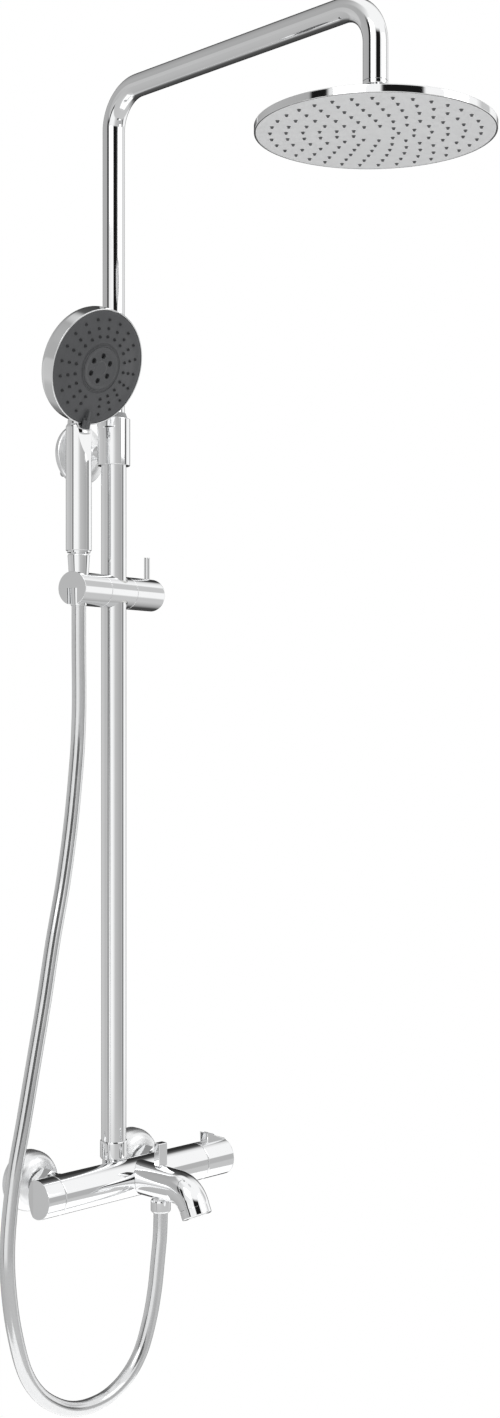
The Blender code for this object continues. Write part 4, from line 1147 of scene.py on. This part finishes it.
@dataclass
class Hose(SubAssembly):
    """The smooth silver hose, in four lengths."""

    radius: float = 7.8 * MM
    sides: int = 40
    joins: tuple[float, ...] = (0.535, 0.43, 0.29)
    route: tuple[tuple[float, float, float], ...] = (
        (-0.0644, -0.0777, 0.6365), (-0.0646, -0.0780, 0.586), (-0.065, -0.079, 0.532),
        (-0.067, -0.080, 0.497),
        (-0.071, -0.082, 0.465), (-0.082, -0.086, 0.401), (-0.097, -0.091, 0.338), (-0.116, -0.097, 0.276),
        (-0.133, -0.103, 0.215), (-0.151, -0.109, 0.156), (-0.169, -0.115, 0.097), (-0.184, -0.119, 0.046),
        (-0.193, -0.122, 0.003), (-0.197, -0.124, -0.032), (-0.196, -0.125, -0.067), (-0.190, -0.126, -0.109),
        (-0.177, -0.126, -0.153), (-0.158, -0.125, -0.182), (-0.134, -0.124, -0.201),
        (-0.109, -0.123, -0.212),
        (-0.082, -0.122, -0.215), (-0.056, -0.121, -0.211), (-0.031, -0.120, -0.198),
        (-0.012, -0.1195, -0.177),
        (0.001, -0.119, -0.147), (0.009, -0.119, -0.115), (0.014, -0.119, -0.080), (0.017, -0.119, -0.055),
        (0.018, -0.119, -0.0295),
    )

    def build(self) -> None:
        """Makes the lengths of hose."""
        line = self.smooth_line([Vector(point) for point in self.route])
        parts = (
            ("hose_at_handset", Body.HOLDER, Body.HOSE_END, 0.538, 0.63),
            ("hose_at_holder", Body.SLIDER, Body.HOLDER, 0.432, 0.53),
            ("hose_at_slider", Body.CARRIAGE, Body.SLIDER, 0.30, 0.42),
            ("hose_loop", Body.MIXER, Body.CARRIAGE, -0.18, 0.27),
        )
        cuts = [0, *(self.cut_below(line, height) for height in self.joins), len(line) - 1]
        for (name, low, high, start, end), first, last in zip(parts, cuts, cuts[1:]):
            path = line[first: last + 1]
            piece = swept(name, path, [self.radius] * len(path), self.sides)
            piece.data.materials.append(HOSE.material())
            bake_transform(piece)
            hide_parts("shower_hose")

    def cut_below(self, line: list[Vector], height: float) -> int:
        """The first point on the way down that is below a height.

        Args:
            line: the hose's points, from the handset on.
            height: the height.

        Returns:
            The point's index.
        """
        return next(i for i, point in enumerate(line) if point.z < height)

    def smooth_line(self, points: list[Vector]) -> list[Vector]:
        """A smooth line through the route's points.

        Args:
            points: the route.

        Returns:
            Points close enough together for a smooth tube.
        """
        ends = [2 * points[0] - points[1], *points, 2 * points[-1] - points[-2]]
        line = []
        for a, b, c, d in zip(ends, ends[1:], ends[2:], ends[3:]):
            for i in range(8):
                t = i / 8
                line.append(
                    0.5 * (2 * b + (c - a) * t + (2 * a - 5 * b + 4 * c - d) * t**2
                           + (3 * b - a - 3 * c + d) * t**3)
                )
        return [*line, points[-1]]


@dataclass
class Inlets(SubAssembly):
    """The rosettes, unions and nuts that hold the mixer on the wall."""

    rosette_radius: float = 33.3 * MM
    rosette_depth: float = 25 * MM
    nut_across: float = 31 * MM

    def build(self) -> None:
        """Makes both sides."""
        for side in ("left", "right"):
            x = middle(f"wall_rosette_{side}").x
            at = facing((x, 0, 0), OUT)
            r, depth = self.rosette_radius, self.rosette_depth
            self.dress(
                turned(
                    f"inlet_rosette_{side}",
                    ((r, 0), (r, depth * 0.42, 4 * MM), (r * 0.84, depth * 0.86, 9 * MM),
                     (r * 0.5, depth, 6 * MM), (10.2 * MM, depth, 0.8 * MM),
                     (10.2 * MM, depth - 1.2 * MM), (r * 0.8, depth * 0.8), (r - 1.2 * MM, depth * 0.4),
                     (r - 1.2 * MM, 0)),
                    at, steps=160, count=10,
                ),
                ROSETTE, Body.MIXER, f"wall_rosette_{side}",
            )
            self.dress(self.nut(side, x), CHROME, Body.MIXER, f"union_nut_{side}")
            self.refinish(CHROME, f"wall_union_{side}")
            self.refinish(RUBBER, f"filter_washer_{side}")

    def nut(self, side: str, x: float) -> bpy.types.Object:
        """A hexagon nut with turned chamfers.

        Args:
            side: left or right.
            x: its place along the wall.

        Returns:
            The nut.
        """
        front, back = (-value for value in span(f"union_nut_{side}", 1))
        at = facing((x, 0, 0), OUT)
        wide = self.nut_across / 2 / math.cos(math.pi / 6)
        blank = turned(
            f"inlet_union_nut_{side}",
            ((0, back), (wide - 2.4 * MM, back), (wide, back + 1.4 * MM), (wide, front - 1.4 * MM),
             (wide - 2.4 * MM, front), (0, front)),
            at, steps=96,
        )
        shape = bmesh.new()
        bmesh.ops.create_cone(shape, cap_ends=True, segments=6, radius1=wide, radius2=wide, depth=0.06)
        hexagon = as_object("hexagon", shape, at @ Matrix.Translation((0, 0, (back + front) / 2)))
        blank.modifiers.clear()
        step = blank.modifiers.new("flats", "BOOLEAN")
        step.operation = "INTERSECT"
        step.object = hexagon
        settled(blank)
        bpy.data.objects.remove(hexagon, do_unlink=True)
        bore = turned("bore", ((0, back - MM), (9.8 * MM, back - MM), (9.8 * MM, front + MM),
                               (0, front + MM)), at, steps=64)
        return combined(blank, [bore], Cut.AWAY, crease=24)


@dataclass
class Mixer(SubAssembly):
    """The mixer's body with its two handles."""

    radius: float = 21 * MM
    y: float = -76 * MM
    spigot_radius: float = 11 * MM
    facet_turn: float = math.radians(20)
    facet_from_axis: float = 6 * MM
    lug_slope: float = math.radians(20)
    lug_height: float = 10.5 * MM

    def build(self) -> None:
        """Makes the body, the spigots and both handles."""
        left, right = span("mixer_body", 0)
        at = facing((0, self.y, 0), ACROSS)
        r = self.radius
        body = turned(
            "mixer_barrel",
            ((0, left), (r - 0.6 * MM, left, 0.2 * MM), (r, left + 0.6 * MM, 0.4 * MM),
             (r, right - 0.6 * MM, 0.4 * MM), (r - 0.6 * MM, right, 0.2 * MM), (0, right)),
            at, steps=192,
        )
        pieces = []
        back = -span("mixer_body", 1)[1]
        for side in ("left", "right"):
            x = middle(f"wall_rosette_{side}").x
            pieces.append(
                turned(
                    f"spigot_{side}",
                    ((0, back), (self.spigot_radius, back), (self.spigot_radius, 48 * MM),
                     (16 * MM, 53 * MM, 2 * MM), (16 * MM, 70 * MM), (0, 70 * MM)),
                    facing((x, 0, 0), OUT), steps=96,
                )
            )
        riser = middle("riser_nut")
        top = span("riser_nut", 2)[0] - 0.2 * MM
        pieces.append(turned("boss", ((0, 0), (12.6 * MM, 0), (12.6 * MM, top), (0, top)),
                             facing((riser.x, riser.y, 0)), steps=96))
        self.dress(combined(body, pieces, Cut.TOGETHER), CHROME, Body.MIXER, "mixer_body")
        self.dress(self.flow_handle(), CHROME, Body.FLOW, "flow_handle")
        self.dress(self.thermostat(), CHROME, Body.THERMOSTAT, "thermostat_handle")
        self.dress(self.button(), BUTTON, Body.SAFETY_BUTTON, "safety_button")
        self.refinish(STEEL, "button_spring")
        self.refinish(CERAMIC, "flow_cartridge")
        self.refinish(BRASS, "thermostat_cartridge")
        self.refinish(NYLON, "stop_ring")

    def flow_handle(self) -> bpy.types.Object:
        """The left handle, cut off at an angle on its rear half for grip.

        Returns:
            The handle.
        """
        outer, inner = span("flow_handle", 0)
        r = self.radius
        length = inner - outer
        handle = turned(
            "flow_control_handle",
            ((0, 0), (r - 0.5 * MM, 0, 0.2 * MM), (r, 0.5 * MM, 0.3 * MM), (r, length, 0.5 * MM),
             (0, length)),
            facing((inner, self.y, 0), -ACROSS), steps=192,
        )
        wedge = block("wedge", (-40 * MM, 0, -40 * MM), (0, 40 * MM, 40 * MM), 0, Matrix.Translation(
            (outer, self.y + self.facet_from_axis, 0)) @ Matrix.Rotation(-self.facet_turn, 4, "Z"))
        return combined(handle, [wedge], Cut.AWAY, crease=18)

    def lug_frame(self) -> Matrix:
        """The frame of the lug's sloping top, which starts at its high end."""
        inner, _ = span("thermostat_handle", 0)
        start = inner + 11.5 * MM
        high_end = Matrix.Translation((start, self.y, self.radius + self.lug_height))
        return high_end @ Matrix.Rotation(self.lug_slope, 4, "Y")

    def thermostat(self) -> bpy.types.Object:
        """The right handle with its rounded end and the lug that holds the safety button.

        Returns:
            The handle.
        """
        inner, outer = span("thermostat_handle", 0)
        r, length = self.radius, outer - inner
        handle = turned(
            "thermostat_control_handle",
            ((0, 0), (r - 0.5 * MM, 0, 0.2 * MM), (r, 0.5 * MM, 0.3 * MM),
             (r, length - 0.6 * MM, 2.6 * MM), (r * 0.84, length, 2 * MM), (0, length)),
            facing((inner, self.y, 0), ACROSS), steps=192, count=8,
        )
        top = self.lug_frame()
        start = top.translation.x
        lug = block(
            "lug", (start, self.y - 6.5 * MM, r - 6 * MM),
            (start + 29.5 * MM, self.y + 6.5 * MM, r + self.lug_height), 0
        )
        slope = block("slope", (-5 * MM, -40 * MM, 0), (60 * MM, 40 * MM, 30 * MM), 0, top)
        combined(lug, [slope], Cut.AWAY)
        soften = lug.modifiers.new("Soften", "BEVEL")
        soften.width = 1.3 * MM
        soften.segments = 5
        lug.modifiers.move(len(lug.modifiers) - 1, 0)
        settled(lug)
        well = block("well", (3.2 * MM, -4.4 * MM, -6 * MM), (14.8 * MM, 4.4 * MM, 6 * MM), 0.0, top)
        combined(handle, [lug], Cut.TOGETHER)
        return combined(handle, [well], Cut.AWAY)

    def button(self) -> bpy.types.Object:
        """The safety button, with rows of grip dimples.

        Returns:
            The button.
        """
        top = self.lug_frame()
        button = block("temperature_safety_button", (3.5 * MM, -4 * MM, -2 * MM),
                       (14.5 * MM, 4 * MM, 1.2 * MM), 1.0 * MM, top)
        dimples = []
        for i in range(4):
            for j in range(3):
                spot = top @ Matrix.Translation(((5.6 + 2.3 * i) * MM, (-2.3 + 2.3 * j) * MM, 1.9 * MM))
                shape = bmesh.new()
                bmesh.ops.create_uvsphere(shape, u_segments=16, v_segments=10, radius=1.1 * MM)
                dimples.append(as_object(f"dimple_{i}_{j}", shape, spot))
        return combined(button, dimples, Cut.AWAY)


@dataclass
class Spout(SubAssembly):
    """The bath spout with its aerator, the diverter on it and the hose's outlet under it."""

    x: float = 18 * MM
    height: float = 1.5 * MM
    root_radius: float = 18.5 * MM
    end_radius: float = 16.5 * MM
    straight_to: float = -147 * MM
    bend_radius: float = 28 * MM
    bend: float = math.radians(68)
    diverter_y: float = -119 * MM

    def line(self) -> tuple[list[Vector], Vector]:
        """The spout's centreline and the direction of its mouth.

        Returns:
            The points and the direction.
        """
        centre = Vector((self.x, self.straight_to, self.height - self.bend_radius))
        start = centre + Vector((0, 0, self.bend_radius))
        end = centre + self.bend_radius * Vector((0, -math.sin(self.bend), math.cos(self.bend)))
        root = Vector((self.x, -80 * MM, self.height))
        straight = [root.lerp(start, i / 12) for i in range(12)]
        turn = self.bend - self.bend / 20
        return straight + arc_points(centre, start, end, 28), Vector((0, -math.cos(turn), -math.sin(turn)))

    def build(self) -> None:
        """Makes the spout, its aerator, the diverter and the hose's nut."""
        points, direction = self.line()
        last = len(points) - 1
        radii = [self.root_radius + (self.end_radius - self.root_radius) * i / last for i in range(last + 1)]
        spout = swept("bath_spout", points, radii, sides=128)
        seat = turned(
            "seat", ((0, -60 * MM), (21.25 * MM, -60 * MM), (21.25 * MM, 90 * MM), (0, 90 * MM)),
            facing((0, -76 * MM, 0), ACROSS), steps=192
        )
        inner = 12.5 * MM
        mouth = points[-1]
        bore = turned("bore", ((0, -12 * MM), (inner, -12 * MM), (inner, 5 * MM), (0, 5 * MM)),
                      facing(mouth, direction), steps=96)
        self.dress(combined(spout, [seat, bore], Cut.AWAY), CHROME, Body.MIXER, "spout")
        r = self.end_radius
        self.dress(
            turned(
                "spout_aerator_ring",
                ((inner - 1.5 * MM, -4 * MM), (inner - 0.4 * MM, -4 * MM), (inner - 0.4 * MM, 0.35 * MM),
                 (r, 0.35 * MM, 0.3 * MM), (r, 9.6 * MM, 1.0 * MM), (r - 2.2 * MM, 10 * MM, 0.6 * MM),
                 (inner - 1.5 * MM, 9.4 * MM, 0.5 * MM)),
                facing(mouth, direction), steps=144,
            ),
            CHROME, Body.MIXER, "aerator_housing",
        )
        self.dress(self.aerator(mouth, direction, inner - 1.8 * MM), NYLON, Body.MIXER, "aerator_insert")
        low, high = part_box("diverter_knob")
        knob_foot = self.height + self.root_radius - 0.4 * MM
        knob = block("diverter_lift_knob", (low[0], low[1], knob_foot), (high[0], high[1], high[2]), 1.1 * MM,
                     segments=5)
        collar = turned(
            "knob_collar", ((0, -3 * MM), (4.6 * MM, -3 * MM), (4.6 * MM, 2 * MM), (0, 2 * MM)),
            facing((self.x, self.diverter_y, knob_foot)), steps=48,
        )
        self.dress(combined(knob, [collar], Cut.TOGETHER), CHROME, Body.DIVERTER, "diverter_knob")
        foot, top = span("outlet_nut", 2)
        r = (span("outlet_nut", 0)[1] - span("outlet_nut", 0)[0]) / 2
        self.dress(
            turned(
                "hose_outlet_nut",
                ((8.6 * MM, top + 1.2 * MM), (r - 0.6 * MM, top + 1.2 * MM, 0.3 * MM),
                 (r, top - 0.4 * MM, 0.5 * MM), (r, foot + 1.6 * MM, 0.8 * MM),
                 (9.2 * MM, foot, 0.8 * MM), (8.1 * MM, foot + 0.3 * MM), (8.1 * MM, foot + 3 * MM)),
                facing((self.x, self.diverter_y, 0)), steps=128,
            ),
            CHROME, Body.MIXER, "outlet_nut",
        )
        self.refinish(CHROME, "hose_nipple")
        self.refinish(BRASS, "diverter_valve")
        self.refinish(RUBBER, "outlet_washer")

    def aerator(self, mouth: Vector, direction: Vector, radius: float) -> bpy.types.Object:
        """The aerator's insert, with a grid of round jets.

        Args:
            mouth: the middle of the spout's mouth.
            direction: where it points.
            radius: the insert's radius.

        Returns:
            The insert.
        """
        at = facing(mouth, direction)
        insert = turned(
            "aerator_jet_plate",
            ((0, -2 * MM), (radius, -2 * MM), (radius, 8.2 * MM, 0.4 * MM),
             (radius - 1.4 * MM, 8.2 * MM, 0.3 * MM), (radius - 1.8 * MM, 7.2 * MM), (0, 7.2 * MM)),
            at, steps=96,
        )
        holes = []
        for ring, count in ((2.6 * MM, 6), (5.2 * MM, 12), (7.4 * MM, 18)):
            for i in range(count):
                angle = 2 * math.pi * i / count
                spot = at @ Matrix.Translation((ring * math.cos(angle), ring * math.sin(angle), 0))
                holes.append(turned(f"jet_{count}_{i}",
                                    ((0, 4 * MM), (0.75 * MM, 4 * MM), (0.75 * MM, 9 * MM), (0, 9 * MM)),
                                    spot, steps=12))
        return combined(insert, [merged("jets", holes)], Cut.AWAY)


# ------------------------------------------------------------------------------------------ studio


@dataclass
class Studio:
    """The pale floor with its painted glow, the light tent and the camera."""

    floor_height: float = -1.15
    floor_half: float = 1.4
    camera_at: tuple[float, float, float] = (-1.3275, -1.5926, 0.522)
    camera_turn: float = math.radians(-45.22)
    lens: float = 45.99

    def build(self) -> None:
        """Sets up the floor, the lights and the camera."""
        self.floor()
        self.tent()
        self.softbox("key_softbox", (-2.6, -1.2, 2.6), 1.6, 16)
        self.softbox("fill_softbox", (1.4, -2.8, 1.9), 1.4, 9)
        self.camera()

    def floor(self) -> None:
        """A pale floor that glows as painted light, a little everywhere and more towards its rim."""
        half = self.floor_half
        shape = bmesh.new()
        bmesh.ops.create_grid(shape, x_segments=8, y_segments=8, size=half)
        floor = as_object("studio_floor", shape, Matrix.Translation((0, -0.3, self.floor_height)))
        paint = bpy.data.materials.new("studio_floor_paint_and_glow")
        paint.use_nodes = True
        shader = paint.node_tree.nodes["Principled BSDF"]
        shader.inputs["Base Color"].default_value = (0.82, 0.82, 0.82, 1)
        shader.inputs["Roughness"].default_value = 0.8
        # Painted light: the floor glows white, with strength 0.22 out to 0.55 m from its middle, rising to
        # 0.5 at 0.95 m, to light the column from below.
        shader.inputs["Emission Color"].default_value = (1, 1, 1, 1)
        nodes = NodeTree(paint.node_tree)
        place = nodes.add("ShaderNodeTexCoord").outputs["Object"]
        reach = nodes.add("ShaderNodeVectorMath", operation="LENGTH")
        nodes.link(place, reach.inputs[0])
        nodes.link(nodes.ramp(reach.outputs["Value"], [(0.55, 0.22), (0.95, 0.5)]),
                   shader.inputs["Emission Strength"])
        floor.data.materials.append(paint)

    def tent(self) -> None:
        """A white light tent with grey flags and two narrow dark gaps, as a product studio has."""
        world = bpy.data.worlds.new("light_tent")
        bpy.context.scene.world = world
        world.use_nodes = True
        world.node_tree.nodes.clear()
        nodes = NodeTree(world.node_tree)
        ray = nodes.add("ShaderNodeTexCoord").outputs["Generated"]
        toward = Vector((math.sin(self.camera_turn), -math.cos(self.camera_turn), 0))
        right = Vector((math.cos(self.camera_turn), math.sin(self.camera_turn), 0))

        def along(axis: Vector) -> bpy.types.NodeSocket:
            """How far the ray points along an axis."""
            node = nodes.add("ShaderNodeVectorMath", operation="DOT_PRODUCT")
            nodes.link(ray, node.inputs[0])
            node.inputs[1].default_value = axis
            return node.outputs["Value"]

        turn = nodes.math("ARCTAN2", along(right), along(toward))
        around = nodes.math("MULTIPLY_ADD", turn, 0.5 / math.pi, 0.5)
        height = nodes.math("MULTIPLY_ADD", nodes.math("ARCSINE", along(UP)), 1 / math.pi, 0.5)

        def stop(angle: float, grey: float) -> tuple[float, float]:
            """A stop at an angle round the tent, in degrees to the right of the camera."""
            return (angle + 180) / 360, grey

        def rise(low: float, high: float) -> bpy.types.NodeSocket:
            """How far the ray has risen from one elevation to another, in degrees."""
            return nodes.ramp(height, [((low + 90) / 180, 0.0), ((high + 90) / 180, 1.0)])

        walls = nodes.ramp(
            around,
            [stop(-180, 0.03), stop(-164, 0.05), stop(-150, 0.5), stop(-118, 0.62), stop(-64, 0.5),
             stop(-57, 0.66), stop(-53, 0.5), stop(-51, 0.01),
             stop(-44, 0.01), stop(-42, 1.0), stop(-4, 1.0), stop(20, 0.55), stop(70, 0.42), stop(91, 0.5),
             stop(94, 0.06), stop(103, 0.06),
             stop(104, 0.75), stop(112, 1.0), stop(146, 1.0), stop(158, 0.35), stop(165, 0.03),
             stop(180, 0.03)],
        )
        panels = nodes.ramp(
            around,
            [stop(-180, 0.03), stop(-166, 0.05), stop(-152, 0.40), stop(-120, 0.46), stop(-68, 0.42),
             stop(-65, 0.01), stop(-50, 0.01),
             stop(-47, 0.85), stop(-12, 1.0), stop(0, 1.0), stop(3, 0.01), stop(40, 0.01), stop(43, 1.0),
             stop(104, 1.0), stop(113, 0.6),
             stop(128, 0.6), stop(132, 1.0), stop(150, 0.9), stop(163, 0.04), stop(180, 0.03)],
        )
        ceiling = nodes.ramp(
            around,
            [stop(-180, 0.06), stop(-160, 0.10), stop(-140, 0.35), stop(-90, 0.45), stop(-50, 0.8),
             stop(-30, 1.0), stop(128, 1.0), stop(146, 0.8),
             stop(164, 0.10), stop(180, 0.06)],
        )
        upper = nodes.mix(rise(9, 11.5), walls, panels)
        high = nodes.mix(rise(30, 38), upper, ceiling)
        lid = nodes.mix(rise(58, 66), high, (1, 1, 1, 1))
        skirt = nodes.ramp(
            around,
            [stop(-180, 0.06), stop(-160, 0.10), stop(-140, 0.45), stop(-60, 0.56), stop(60, 0.60),
             stop(130, 0.60), stop(152, 0.35), stop(166, 0.06),
             stop(180, 0.06)],
        )
        low = nodes.mix(rise(-16, -11), skirt, lid)
        tent = nodes.mix(rise(-60, -45), (0.70, 0.70, 0.70, 1), low)
        seen = nodes.add("ShaderNodeLightPath").outputs["Is Camera Ray"]
        plain = nodes.mix(seen, tent, (1, 1, 1, 1))
        light = nodes.add("ShaderNodeBackground", Strength=1.0)
        nodes.link(plain, light.inputs["Color"])
        nodes.link(light.outputs[0], nodes.add("ShaderNodeOutputWorld").inputs["Surface"])

    def softbox(self, name: str, at: tuple[float, float, float], size: float, power: float) -> None:
        """A square softbox that faces the column.

        Args:
            name: the light's name.
            at: where it stands.
            size: its side.
            power: its power in watts.
        """
        data = bpy.data.lights.new(name, "AREA")
        data.size = size
        data.energy = power
        light = bpy.data.objects.new(name, data)
        light.location = at
        aim = Vector((0, -0.1, 0.5)) - light.location
        light.rotation_euler = aim.to_track_quat("-Z", "Y").to_euler()
        bpy.context.scene.collection.objects.link(light)

    def camera(self) -> None:
        """A level camera to the left of the column."""
        data = bpy.data.cameras.new("studio_camera")
        data.lens = self.lens
        data.sensor_width = 36
        data.clip_start = 0.05
        data.clip_end = 50
        camera = bpy.data.objects.new("studio_camera", data)
        camera.location = self.camera_at
        camera.rotation_euler = (math.radians(90), 0, self.camera_turn)
        bpy.context.scene.collection.objects.link(camera)
        scene = bpy.context.scene
        scene.camera = camera
        scene.view_settings.view_transform = "Standard"


def main() -> None:
    """Builds the studio and every sub-assembly."""
    logging.basicConfig(level=logging.INFO, format="%(message)s")
    Studio().build()
    Hose().build()
    for group in (Column(), WallBracket(), RainHead(), Slider(), Handset(), Inlets(), Mixer(), Spout()):
        group.build()


if __name__ == "__main__":
    main()
